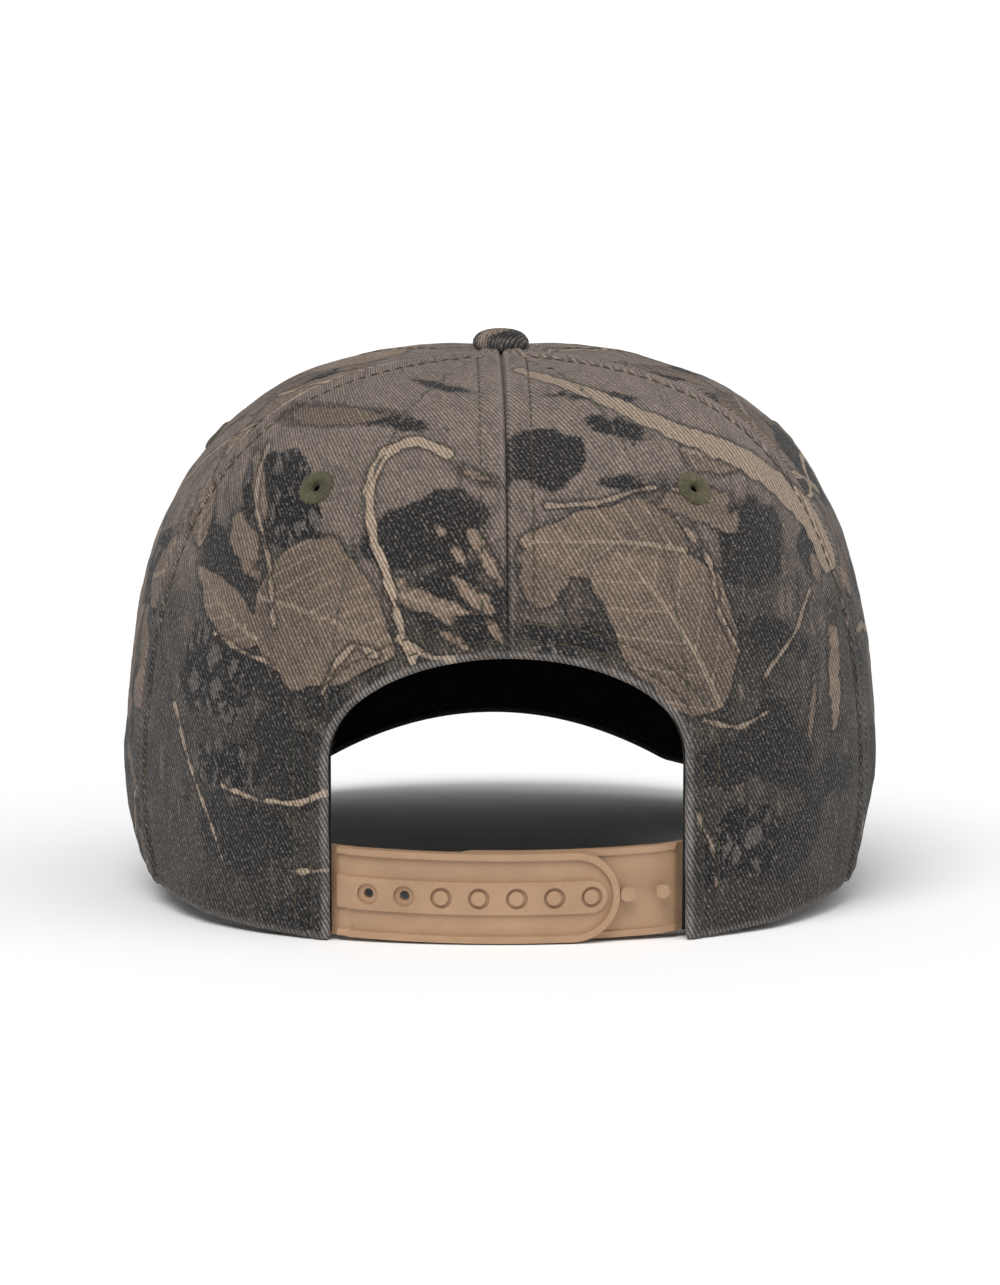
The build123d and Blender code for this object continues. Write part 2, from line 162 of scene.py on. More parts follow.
def spaced(count, fine_start=0.0, fine_end=0.0, reach=0.06):
    """Numbers from 0 to 1, packed closer near the ends that ask for it."""
    t = np.linspace(0, 1, 2001)
    density = 1 + fine_start * np.exp(-t / reach) + fine_end * np.exp(-(1 - t) / reach)
    run = np.concatenate([[0], np.cumsum((density[1:] + density[:-1]) / 2)])
    return np.interp(np.linspace(0, run[-1], count), run, t)


def bump_at(d, centre, width):
    return np.exp(-((d - centre) / width) ** 2)


def smooth(lo, hi, x):
    t = np.clip((x - lo) / (hi - lo), 0, 1)
    return t * t * (3 - 2 * t)


def relaxed(line, times):
    """A polyline, as rows of numbers, with its corners evened out."""
    for _ in range(times):
        line[1:-1] = 0.25 * line[:-2] + 0.5 * line[1:-1] + 0.25 * line[2:]
    return line


def resampled(points, count):
    p = np.array(points, float)
    t = np.linspace(0, len(p) - 1, count)
    return np.stack([np.interp(t, np.arange(len(p)), p[:, k]) for k in (0, 1)], -1)


def waves(u, v, seed, size, octaves=3):
    """Smooth seeded undulation between about -1 and 1, with features of the given size in mm."""
    rng = np.random.default_rng(seed)
    total = np.zeros_like(u, dtype=float)
    weight = 0.0
    for k in range(octaves):
        for _ in range(4):
            angle, phase = rng.uniform(0, 2 * np.pi, 2)
            wavelength = size / 1.9 ** k * rng.uniform(0.8, 1.25)
            way = u * math.cos(angle) + v * math.sin(angle)
            total += np.sin(way * 2 * np.pi / wavelength + phase) / 1.8 ** k
        weight += 2.0 / 1.8 ** k
    return total / weight


# ---- crown surface
def crown_radius(azimuth, z):
    a = np.radians(azimuth)
    level = np.clip(np.asarray(z, float) / CROWN_HEIGHT, 0.0, 1.0)
    plan = 2.1 + 0.15 * level ** 2
    reach = np.where(np.cos(a) > 0, CROWN_REAR, CROWN_FRONT)
    across = np.abs(np.sin(a) / CROWN_HALF_WIDTH) ** plan + np.abs(np.cos(a) / reach) ** plan
    bulge = 2.94 + 0.55 * np.cos(a) - 0.19 * np.cos(a) ** 2
    share = HEM_TUCK_SHARE + (1 - HEM_TUCK_SHARE) * np.sin(a) ** 4
    tuck = HEM_TUCK * share * np.clip(1 - z / HEM_TUCK_HEIGHT, 0, None) ** 2
    return across ** (-1 / plan) * (1 - level ** bulge) ** (1 / bulge) - tuck


def visor_top(x, y):
    return VISOR_JOINT - x * x / (2 * VISOR_BEND) + VISOR_SLOPE * (y + CROWN_FRONT)


def hem_height(azimuth):
    """The hem lies in its plane and rises over the visor."""
    azimuth = np.abs(np.asarray(azimuth, float))
    z = np.zeros_like(azimuth)
    for _ in range(4):
        x, y = polar(azimuth, crown_radius(azimuth, z)).T
        rise = visor_top(x, y) + 0.3 - 0.3 * np.clip(132.0 - azimuth, 0, None)
        z = np.clip(0.5 * (rise + np.sqrt(rise * rise + 1.0)) - 0.05, 0, None)
        z = np.where(azimuth < 100, 0.0, z)
    return z


def profile_table():
    """Height and radius of the crown by azimuth and by share of the way from hem to top."""
    azimuths, shares = np.linspace(-5, 185, 951), np.linspace(0, 1, 401)
    turn = np.pi / 2 * (1 - (1 - np.linspace(0, 1, 500)) ** 1.5)
    hems = hem_height(azimuths)[:, None]
    z = hems + (CROWN_HEIGHT - hems) * np.sin(turn)
    r = np.maximum(crown_radius(azimuths[:, None], z), 0)
    run = np.cumsum(np.hypot(np.diff(z, axis=1), np.diff(r, axis=1)), axis=1)
    run = np.concatenate([np.zeros((len(azimuths), 1)), run], axis=1)
    lengths = np.array([np.interp(-TOP_RADIUS, -radii, way) for radii, way in zip(r, run)])
    heights, radii = (np.array([np.interp(shares * end, way, row) for end, way, row in zip(lengths, run, rows)])
                      for rows in (z, r))
    return azimuths, shares, heights, radii, lengths


AZIMUTHS, SHARES, HEIGHTS, RADII, LENGTHS = profile_table()


def table_value(table, azimuth, share):
    a = np.clip((np.abs(azimuth) + 5) / 190 * (len(AZIMUTHS) - 1), 0, len(AZIMUTHS) - 1.001)
    b = np.clip(share * (len(SHARES) - 1), 0, len(SHARES) - 1.001)
    i, j = a.astype(int), b.astype(int)
    fa, fb = a - i, b - j
    low = table[i, j] * (1 - fb) + table[i, j + 1] * fb
    high = table[i + 1, j] * (1 - fb) + table[i + 1, j + 1] * fb
    return low * (1 - fa) + high * fa


def crown_point(azimuth, share):
    azimuth, share = np.broadcast_arrays(np.asarray(azimuth, float), np.asarray(share, float))
    return polar(azimuth, table_value(RADII, azimuth, share), table_value(HEIGHTS, azimuth, share))


def crown_normal(azimuth, share):
    da, ds = 0.6, 0.006
    across = crown_point(azimuth + da, share) - crown_point(azimuth - da, share)
    up = crown_point(azimuth, np.clip(share + ds, 0, 1)) - crown_point(azimuth, np.clip(share - ds, 0, 1))
    return unit(np.cross(up, across))


def axis_distance(points):
    return np.hypot(points[..., 0], points[..., 1])


def profile_length(azimuth):
    return np.interp(np.abs(azimuth), AZIMUTHS, LENGTHS)


def share_at_height(azimuth, z):
    """Share of the way up one azimuth at a height."""
    return float(np.interp(z, table_value(HEIGHTS, np.full(len(SHARES), abs(azimuth)), SHARES), SHARES))


def azimuth_at(x, z):
    """Azimuth of the crown's surface at a sideways place and a height."""
    azimuth = math.degrees(math.asin(min(1.0, abs(x) / CROWN_REAR)))
    for _ in range(12):
        azimuth = math.degrees(math.asin(min(1.0, abs(x) / float(crown_radius(azimuth, z)))))
    return math.copysign(azimuth, x)


def seam_at(seam, share):
    """Azimuth of a seam at a share of the way from hem to top."""
    return mix(seam, share ** 2)


# ---- meshes
def make_object(name, points, faces, material, body="cap", place=to_row):
    mesh = bpy.data.meshes.new(name)
    mesh.from_pydata([tuple(p) for p in place(points)], [], [tuple(f) for f in faces])
    mesh.update()
    mesh.shade_smooth()
    mesh.materials.append(material)
    piece = bpy.data.objects.new(name, mesh)
    bpy.context.scene.collection.objects.link(piece)
    if body:
        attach(piece, body)
    return piece


def grid_quads(index):
    a, b, c, d = index[:-1, :-1], index[:-1, 1:], index[1:, 1:], index[1:, :-1]
    return np.stack([a, b, c, d], -1).reshape(-1, 4)


def tube_faces(rings, around, start=True, end=True):
    """Faces of a tube through closed rings of points, with caps on the ends that ask for them."""
    index = np.arange(rings * around).reshape(rings, around)
    faces = grid_quads(np.concatenate([index, index[:, :1]], axis=1)).tolist()
    return faces + [index[0, ::-1].tolist()] * start + [index[-1].tolist()] * end


def turned_out(faces):
    return [face[::-1] for face in faces]


def add_uv(piece, uv):
    """UV in metres of cloth."""
    layer = piece.data.uv_layers.new(name="cloth")
    loops = np.zeros(len(piece.data.loops), int)
    piece.data.loops.foreach_get("vertex_index", loops)
    layer.data.foreach_set("uv", (np.asarray(uv, np.float32).reshape(-1, 2)[loops] * MM).ravel())


def sew(name, points, faces, uv, material, thickness, fields=(), back=None, offset=-1.0):
    """Makes the cloth that stands for a CAD node: a sheet given thickness, with cloth coordinates and fields;
    the node is hidden.
    """
    piece = make_object(name + "_cloth", points, faces, material)
    add_uv(piece, uv)
    for key, values in dict(fields).items():
        attribute = piece.data.attributes.new(key, "FLOAT", "POINT")
        attribute.data.foreach_set("value", np.asarray(values, np.float32).ravel())
    m = piece.modifiers.new("cloth thickness", "SOLIDIFY")
    m.thickness, m.offset, m.use_quality_normals = thickness * MM, offset, True
    if back:
        piece.data.materials.append(back)
        m.material_offset = 1
    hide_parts(name)


# ---- camouflage: distance fields of generic leaves, twigs and blotches on the cloth
def turned_about(u, v, centre, angle):
    """Cloth coordinates from a centre, turned by an angle in degrees."""
    a = math.radians(angle)
    du, dv = u - centre[0], v - centre[1]
    return du * math.cos(a) + dv * math.sin(a), dv * math.cos(a) - du * math.sin(a)


def leaf_field(u, v, centre, angle, length, width, seed):
    """Signed distance to a pointed leaf (negative inside), to its veins, and the way along it."""
    x, y = turned_about(u, v, centre, angle)
    t = np.clip(x / length + 0.5, 0, 1)
    y = y + 0.06 * length * np.sin(3.0 * t + seed) - 0.03 * length
    half = 0.5 * width * np.sin(np.pi * t ** 0.72) ** 0.85 * (1 + 0.05 * np.sin(t * 19 + seed))
    beyond = np.maximum(np.abs(x) - length / 2, 0)
    body = np.where(beyond > 0, np.hypot(beyond, np.abs(y)), np.abs(y) - half)
    body = body + 0.45 * waves(u, v, 900 + seed, 9.0, 2)
    rib = np.abs(y) - 0.42 * (1.25 - t)
    pitch = length / 6.5
    slant = (x - 0.9 * np.abs(y) - 0.012 * y * y + 0.35 * pitch * np.sign(y)) % pitch
    side = np.minimum(slant, pitch - slant) * 0.74 - 0.16
    return body, np.minimum(rib, side), t


def twig_field(u, v, points, width, seed):
    """Signed distance to a tapering twig through given points."""
    fine = relaxed(resampled(points, 14 * (len(points) - 1) + 1), 12)
    best = np.full(u.shape, 1e3)
    for k in range(len(fine) - 1):
        a, d = fine[k], fine[k + 1] - fine[k]
        h = np.clip(((u - a[0]) * d[0] + (v - a[1]) * d[1]) / max(float(d @ d), 1e-9), 0, 1)
        size = width * (1 - 0.55 * (k + h) / len(fine)) / 2
        best = np.minimum(best, np.hypot(u - a[0] - h * d[0], v - a[1] - h * d[1]) - size)
    return best + 0.35 * waves(u, v, 500 + seed, 6.0, 2)


def blotch_field(u, v, centre, size, angle, seed):
    x, y = turned_about(u, v, centre, angle)
    body = (np.hypot(x / size[0], y / size[1]) - 1) * min(size)
    return body + 0.30 * min(size) * waves(u, v, 300 + seed, 2.2 * min(size), 3)


def random_print(seed, width, height):
    """A crowded scattering of leaves, twigs, bark and blotches over a piece of cloth."""
    draw = np.random.default_rng(seed).uniform
    area = width * height
    prints = {"dark": [], "bark": [], "patches": [], "leaves": [], "twigs": []}

    def somewhere():
        return draw(-width / 2, width / 2), draw(0.0, height)

    for _ in range(int(area / 800) + 2):
        prints["dark"].append((somewhere(), (draw(6, 16), draw(3, 9)), draw(0, 180)))
    for _ in range(int(area / 3000) + 1):
        prints["bark"].append((somewhere(), (draw(10, 18), draw(7, 12)), draw(40, 140)))
    for _ in range(int(area / 700) + 2):
        size = (draw(2, 11), draw(1.2, 4.5))
        prints["patches"].append((somewhere(), size, draw(0, 180), draw(0.1, 1.0)))
    for _ in range(int(area / 1100) + 2):
        length = draw(22, 46)
        prints["leaves"].append((somewhere(), draw(0, 360), length, length * draw(0.42, 0.62), draw(0.0, 0.8)))
    for _ in range(int(area / 1700) + 2):
        x, y = somewhere()
        way = draw(0, 2 * np.pi)
        points = [(x, y)]
        for _ in range(4):
            way += draw(-0.6, 0.6)
            x, y = x + 13 * math.cos(way), y + 13 * math.sin(way)
            points.append((x, y))
        prints["twigs"].append((points, draw(1.0, 3.4), draw(0.3, 1.0)))
    return prints


def print_fields(u, v, prints):
    """Fields for the camouflage material, by name; each shape lies over those before it."""
    fields = {key: np.full(u.shape, FAR) for key in ("dark", "bark", "leaf", "vein", "twig")}
    fields.update(tone=np.full(u.shape, 0.5), twig_tone=np.full(u.shape, 0.7))

    def lay(key, body, margin, **over):
        on_top = body < np.minimum(fields[key], margin)
        for name, value in over.items():
            fields[name] = np.where(on_top, value, fields[name])
        fields[key] = np.minimum(fields[key], body)

    for key, seed in (("dark", 0), ("bark", 40)):
        for k, blotch in enumerate(prints[key], seed):
            lay(key, blotch_field(u, v, *blotch, k), np.inf)
    for k, (*blotch, tone) in enumerate(prints["patches"], 80):
        lay("leaf", blotch_field(u, v, *blotch, k), COVERS, tone=tone)
    for k, (*leaf, tone) in enumerate(prints["leaves"]):
        body, vein, way = leaf_field(u, v, *leaf, k)
        lay("leaf", body, COVERS, tone=tone + 0.5 * (way - 0.5), vein=vein)
    for k, (points, width, tone) in enumerate(prints["twigs"]):
        lay("twig", twig_field(u, v, points, width, k), np.inf, twig_tone=tone)
    return fields


# ---- materials
def rgb(*screen):
    """8-bit screen colour to linear RGBA."""
    parts = [c / 255 for c in screen]
    return tuple(c / 12.92 if c <= 0.04045 else ((c + 0.055) / 1.055) ** 2.4 for c in parts) + (1.0,)


class Shader:
    """Small helper that adds and links nodes of one material."""

    def __init__(self, name):
        self.material = bpy.data.materials.new(name)
        self.material.use_nodes = True
        self.tree = self.material.node_tree
        self.bsdf = self.tree.nodes["Principled BSDF"]

    def add(self, kind, inputs, **settings):
        node = self.tree.nodes.new("ShaderNode" + kind)
        for key, value in settings.items():
            setattr(node, key, value)
        for key, value in inputs.items():
            self.put(node.inputs[key], value)
        return node

    def put(self, socket, value):
        if isinstance(value, bpy.types.NodeSocket):
            self.tree.links.new(value, socket)
        else:
            socket.default_value = value

    def math(self, operation, a, b=0.0, c=0.0):
        return self.add("Math", {0: a, 1: b, 2: c}, operation=operation).outputs[0]

    def times(self, a, b, plus=0.0):
        return self.math("MULTIPLY_ADD", a, b, plus)

    def wave(self, turns):
        """Cosine of whole turns, between 0 and 1."""
        return self.times(self.math("COSINE", self.times(turns, 2 * math.pi)), 0.5, 0.5)

    def ramp(self, value, low, high, to_low=0.0, to_high=1.0):
        """Smooth step from low to high."""
        ends = {"From Min": low, "From Max": high, "To Min": to_low, "To Max": to_high}
        return self.add("MapRange", {"Value": value, **ends}, interpolation_type="SMOOTHSTEP").outputs["Result"]

    def mix(self, factor, a, b, blend="MIX"):
        return self.add("Mix", {0: factor, 6: a, 7: b}, data_type="RGBA", blend_type=blend).outputs[2]

    def over(self, under, colour, value, low, high, weight=1.0):
        """A colour laid over another as a value goes from low to high."""
        return self.mix(self.ramp(value, low, high, 0.0, weight), under, colour)

    def noise(self, vector, scale, detail=2.0, roughness=0.5):
        inputs = {"Vector": vector, "Scale": scale, "Detail": detail, "Roughness": roughness}
        return self.add("TexNoise", inputs).outputs["Fac"]

    def stretch(self, vector, scale, turn=0.0):
        return self.add("Mapping", {"Vector": vector, "Scale": scale, "Rotation": (0, 0, turn)}).outputs[0]

    def vector(self, x, y=0.0):
        return self.add("CombineXYZ", {0: x, 1: y}).outputs[0]

    def attribute(self, name):
        return self.add("Attribute", {}, attribute_name=name).outputs["Fac"]

    def place(self):
        return self.add("TexCoord", {}).outputs["Object"]

    def cloth_mm(self):
        """UV in millimetres of cloth, as a vector and its two parts."""
        uv = self.add("UVMap", {}, uv_map="cloth").outputs[0]
        vector = self.add("VectorMath", {0: uv, "Scale": 1000.0}, operation="SCALE").outputs[0]
        parts = self.add("SeparateXYZ", {0: vector})
        return vector, parts.outputs[0], parts.outputs[1]

    def finish(self, colour, roughness, specular, **more):
        """Sets the shader's sockets, named in lower case with underscores; returns the material."""
        sockets = {"Base Color": colour, "Roughness": roughness, "Specular IOR Level": specular}
        sockets.update((key.replace("_", " ").title(), value) for key, value in more.items())
        for key, value in sockets.items():
            self.put(self.bsdf.inputs[key], value)
        return self.material

    def bump(self, height, depth_mm, strength=1.0):
        return self.add("Bump", {"Height": height, "Distance": depth_mm * MM, "Strength": strength}).outputs[0]


def twill_lines(s, u, v, angle, pitch):
    """Height of a diagonal twill's ridges, the ends of its floats, its line number and the way along."""
    a = math.radians(angle)
    across = s.times(v, -math.cos(a) / pitch, s.times(u, math.sin(a) / pitch))
    along = s.times(v, math.sin(a), s.times(u, math.cos(a)))
    wander = s.noise(s.vector(across, s.times(along, 0.12)), 0.7, 1.0)
    line = s.times(wander, 0.55, across)
    return s.wave(line), s.wave(s.times(line, 0.5, s.times(along, 1.15 / pitch))), line, along


def camo_material(name, angle, painted_light_levels=(48.0, 128.0)):
    """Printed twill with rubbed threads and worn edges, with painted light that lightens it up the cloth
    between two levels and painted shade that darkens it below the lower level.
    """
    s = Shader(name)
    vector, u, v = s.cloth_mm()
    ridge, float_end, line, along = twill_lines(s, u, v, angle, TWILL_PITCH)
    broad = s.noise(vector, 0.04, 3.0, 0.55)
    medium = s.noise(vector, 0.20, 4.0, 0.62)
    fine = s.noise(vector, 1.1, 3.0, 0.65)
    ragged = s.math("SUBTRACT", s.times(medium, 4.6, s.times(fine, 2.2)), 3.4)

    # painted light: the ground gets lighter up the cloth between the two painted-light levels, on top of its
    # broad random tone
    tone_and_painted_top_light = s.math("ADD", broad, s.ramp(v, *painted_light_levels, -0.12, 0.34))
    ground = s.over(rgb(62, 58, 54), rgb(128, 114, 105), tone_and_painted_top_light, 0.34, 0.72)
    ground = s.over(ground, rgb(80, 74, 68), medium, 0.40, 0.66, 0.8)
    streak = s.noise(s.stretch(vector, (0.30, 0.055, 1.0), 0.55), 1.0, 5.0, 0.68)
    ground = s.over(ground, rgb(50, 48, 47), streak, 0.55, 0.64, 0.8)
    ground = s.over(ground, rgb(138, 123, 112), streak, 0.42, 0.35, 0.6)
    # more painted light towards the top of the cloth, and painted shade below the lower level, towards the hem
    ground = s.over(ground, rgb(146, 132, 122), v, painted_light_levels[0] + 30.0, painted_light_levels[1], 0.50)
    ground = s.over(ground, rgb(50, 49, 48), v, painted_light_levels[0], painted_light_levels[0] - 40.0, 0.38)

    charcoal = s.mix(medium, rgb(30, 30, 32), rgb(58, 56, 55))
    colour = s.over(ground, charcoal, s.math("ADD", s.attribute("dark"), ragged), 0.9, -0.7)

    bent = s.add("VectorMath", {0: vector, 1: s.vector(s.times(medium, 9.0))}, operation="ADD").outputs[0]
    crack = s.add("TexVoronoi", {"Vector": s.stretch(bent, (0.30, 0.13, 1.0)), "Scale": 1.0},
                  feature="DISTANCE_TO_EDGE").outputs["Distance"]
    plates = s.over(rgb(33, 33, 35), rgb(98, 92, 88), s.times(fine, 0.16, crack), 0.20, 0.30)
    colour = s.over(colour, plates, s.math("ADD", s.attribute("bark"), ragged), 0.6, -0.6)

    leaf = s.times(ragged, 0.28, s.attribute("leaf"))
    flesh = s.mix(s.attribute("tone"), rgb(82, 73, 66), rgb(164, 142, 124))
    flesh = s.over(flesh, rgb(96, 86, 78), medium, 0.42, 0.70, 0.7)
    flesh = s.over(flesh, rgb(134, 116, 101), leaf, -7.0, -0.5, 0.35)
    flesh = s.over(flesh, rgb(172, 153, 134), s.times(fine, 0.6, s.attribute("vein")), 0.62, 0.12, 0.7)
    colour = s.over(colour, rgb(44, 42, 41), leaf, 2.4, 0.1, 0.75)
    colour = s.over(colour, flesh, leaf, 0.35, -0.35)

    twig = s.times(ragged, 0.22, s.attribute("twig"))
    wood = s.mix(s.attribute("twig_tone"), rgb(112, 99, 88), rgb(184, 163, 142))
    wood = s.over(wood, rgb(104, 92, 82), fine, 0.55, 0.75, 0.55)
    colour = s.over(colour, rgb(40, 38, 38), twig, 1.5, 0.1, 0.7)
    colour = s.over(colour, wood, twig, 0.26, -0.26)

    # painted light and shade on the twill: darker in the gaps between threads and lighter on their tops, times
    # each thread's own tone
    thread = s.times(ridge, s.times(float_end, 0.34, 0.66))
    fleck = s.noise(s.vector(line, along), 1.15, 2.0, 0.75)
    shade = s.times(s.times(thread, 0.74, 0.44), s.times(fleck, 1.50, 0.22))
    grey = s.add("CombineColor", {0: shade, 1: shade, 2: shade}).outputs[0]
    colour = s.mix(1.0, colour, grey, "MULTIPLY")
    rubbed = s.times(s.ramp(fleck, 0.49, 0.66), s.times(thread, 0.50, 0.02))
    colour = s.mix(rubbed, colour, rgb(164, 153, 144))
    wear = s.times(s.attribute("wear"), s.times(thread, 0.75, s.times(fleck, 0.35)))
    colour = s.mix(s.times(wear, 0.85), colour, rgb(172, 165, 160))
    relief = s.bump(s.times(fleck, 0.45, thread), 0.22)
    return s.finish(colour, s.times(thread, -0.12, 0.96), 0.2, normal=relief, sheen_weight=0.08,
                    sheen_roughness=0.45)


def woven_material(name, low, high, pitch, angle=None, bump=0.12):
    """Plain-coloured cloth: a twill at an angle, or a plain weave of crossing threads."""
    s = Shader(name)
    vector, u, v = s.cloth_mm()
    if angle is None:
        across, along = (s.math("COSINE", s.times(part, 2 * math.pi / pitch)) for part in (u, v))
        height = s.times(s.times(across, along), 0.5, 0.5)
    else:
        ridge, float_end, _, _ = twill_lines(s, u, v, angle, pitch)
        height = s.times(ridge, s.times(float_end, 0.3, 0.7))
    patchy = s.noise(vector, 0.12, 3.0, 0.6)
    fuzz = s.noise(vector, 1.8, 2.0, 0.7)
    # painted light and shade on the weave: lighter on the threads' tops and darker between them, with patchy
    # and fuzzy tone
    tone = s.times(height, 0.55, s.times(fuzz, 0.35, -0.1))
    return s.finish(s.over(low, high, s.times(patchy, 0.3, tone), 0.0, 1.0), s.times(fuzz, 0.08, 0.88), 0.2,
                    normal=s.bump(s.times(fuzz, 0.4, height), bump), sheen_weight=0.1)


def thread_material(name, low, high, scale=900.0):
    """Twisted sewing thread, by position on the object."""
    s = Shader(name)
    twist = s.noise(s.place(), scale, 2.0, 0.6)
    tone = s.times(s.noise(s.place(), 60.0, 2.0, 0.5), 0.6, s.times(twist, 0.5))
    return s.finish(s.over(low, high, tone, 0.3, 0.8), s.times(twist, 0.2, 0.5), 0.35,
                    normal=s.bump(twist, 0.12, 0.8), sheen_weight=0.15)


def moulded_material(name, low, high, roughness):
    """Fine-grained injection moulding with faint flow marks and dark specks."""
    s = Shader(name)
    grain = s.noise(s.place(), 2600.0, 2.0, 0.6)
    flow = s.noise(s.stretch(s.place(), (30.0, 30.0, 220.0)), 1.0, 3.0, 0.5)
    tone = s.times(flow, 0.35, s.times(s.noise(s.place(), 90.0, 3.0, 0.55), 0.65))
    colour = s.over(low, high, tone, 0.32, 0.68)
    colour = s.over(colour, rgb(126, 98, 72), s.noise(s.place(), 700.0, 1.0, 0.5), 0.70, 0.78, 0.25)
    return s.finish(colour, s.times(grain, 0.16, roughness), 0.42,
                    normal=s.bump(s.times(flow, 0.6, grain), 0.035, 0.7), subsurface_weight=0.08,
                    subsurface_radius=(0.9, 0.6, 0.4), subsurface_scale=0.0012)


def metal_material(name):
    s = Shader(name)
    streak = s.noise(s.stretch(s.place(), (300.0, 3000.0, 300.0)), 1.0, 3.0, 0.6)
    return s.finish(s.mix(streak, rgb(160, 160, 162), rgb(196, 196, 198)), s.times(streak, 0.25, 0.28), 0.5,
                    normal=s.bump(streak, 0.03, 0.5), metallic=1.0)


CAMO_LEFT = camo_material("camo_twill_left", 62.0)
CAMO_RIGHT = camo_material("camo_twill_right", 118.0)
CAMO_VISOR = camo_material("camo_twill_visor", 50.0, painted_light_levels=(-200.0, 60.0))
CLOTH_BACK = woven_material("unprinted_twill_back", rgb(58, 55, 49), rgb(112, 106, 96), TWILL_PITCH, 62.0)
BLACK_TAPE = woven_material("black_tape", rgb(14, 14, 15), rgb(40, 40, 42), 0.7)
BLACK_TWILL = woven_material("black_sweatband", rgb(13, 13, 14), rgb(38, 38, 40), 0.8, 60.0, 0.10)
PIPING = woven_material("piping_twill", rgb(58, 52, 50), rgb(112, 102, 98), 0.8, 60.0)
BUCKRAM = woven_material("buckram_weave", rgb(16, 16, 17), rgb(52, 52, 54), 1.1, bump=0.25)
LINING = woven_material("visor_lining", rgb(40, 38, 33), rgb(92, 86, 74), 1.0, 60.0, 0.15)
BLACK_THREAD = thread_material("black_thread", rgb(12, 12, 13), rgb(40, 40, 42))
THREAD = thread_material("olive_thread", rgb(38, 36, 26), rgb(80, 75, 53))
EYELET_THREAD = thread_material("eyelet_thread", rgb(48, 45, 31), rgb(98, 92, 64), 1200.0)
STRAP = moulded_material("tan_moulding", rgb(162, 130, 102), rgb(176, 142, 112), 0.41)
BOARD = moulded_material("board_plastic", rgb(214, 212, 202), rgb(228, 226, 218), 0.45)
METAL = metal_material("button_sheet")


# ---- crown panels
def seam_relief(d, along, ridge):
    """Height beside a seam: a narrow gap, a raised allowance and a dip under the stitching."""
    gap = -1.25 * bump_at(d, 0.0, 0.38)
    allowance = ridge * smooth(0.3, 1.4, d) * (1 - smooth(4.4, 6.2, d))
    dip = -0.20 * bump_at(d, STITCH_OFFSET, 0.6)
    pucker = 0.045 * np.sin(along * 2 * np.pi / (2 * STITCH_PITCH)) * bump_at(d, STITCH_OFFSET, 2.4)
    return gap + allowance + dip + pucker


def opening_distance(points):
    """Distance outside the rear opening's outline, in mm."""
    x, z = np.abs(points[..., 0]), np.maximum(points[..., 2] - OPENING_STRAIGHT, 0)
    inmost = -0.6 * OPENING_RISE
    d = np.maximum(np.maximum(x - OPENING_HALF, z - OPENING_RISE), inmost)
    for _ in range(10):
        a, b = OPENING_HALF + d, OPENING_RISE + d
        f = (x / a) ** 2 + (z / b) ** 2 - 1
        d = np.maximum(d + f / (2 * x ** 2 / a ** 3 + 2 * z ** 2 / b ** 3 + 1e-6), inmost)
    return np.where(points[..., 1] > 0, d, 99.0)


class Panel:
    """One of the six crown panels, drawn on the +X side; the other side's are mirrored."""

    def __init__(self, name, left, right, origin, seed, side, ridges, opening=False):
        self.name, self.left, self.right, self.origin, self.seed = name, left, right, origin, seed
        self.mirror = np.array([side, 1.0, 1.0])
        self.ridges, self.opening = ridges, opening

    def surface(self, phi, share):
        """Points and normals with the sewn relief, cloth coordinates and wear."""
        base, normal = crown_point(phi, share), crown_normal(phi, share)
        arc = np.radians(1.0) * axis_distance(base)
        u, v = (phi - seam_at(self.origin, share)) * arc, share * profile_length(phi)
        to_left, to_right = (phi - seam_at(self.left, share)) * arc, (seam_at(self.right, share) - phi) * arc
        near_top = smooth(1.0, 0.84, share)
        nearest = np.maximum(np.minimum(to_left, to_right), 0)
        height = seam_relief(to_left, v, self.ridges[0]) + seam_relief(to_right, v + 1.3, self.ridges[1])
        height += 0.50 * (1 - np.exp(-nearest / 14)) * near_top
        height += 0.50 * waves(u, v, self.seed, 52.0, 3) * smooth(2, 16, nearest) * near_top
        height += 0.09 * waves(u, v, self.seed + 7, 9.0, 2) * smooth(2, 8, nearest)
        rub = 0.5 + 0.5 * waves(u, v, self.seed + 9, 23.0, 3)
        wear = (0.10 + 0.50 * rub ** 2) * bump_at(nearest, 0.95, 0.45)
        height += 0.20 * bump_at(v, 2.0, 2.0)
        wear = np.maximum(wear, 0.40 * bump_at(v, FOLD_RADIUS, 0.8))
        if self.opening:
            d = opening_distance(base)
            height += 0.50 * smooth(4.4, 2.8, d)
            height -= 0.34 * bump_at(d, ARCH_ROWS[0], 0.5) + 0.24 * bump_at(d, ARCH_ROWS[1], 0.55)
            height += 0.22 * smooth(9.5, 7.2, d) + 0.12 * waves(u, v, self.seed + 3, 8.0, 2) * smooth(12, 2, d)
            height *= 1 - 0.8 * smooth(10, 2, d) * smooth(1.5, 0.0, nearest)
            edge = np.maximum(d - FOLD_RADIUS, 0)
            worn = (0.34 + 0.55 * rub) * bump_at(edge, 0.0, 0.60) + 0.06 * rub * bump_at(d, 2.4, 1.0)
            wear = np.maximum(wear, worn)
        return (base + normal * height[..., None]) * self.mirror, normal * self.mirror, u, v, wear


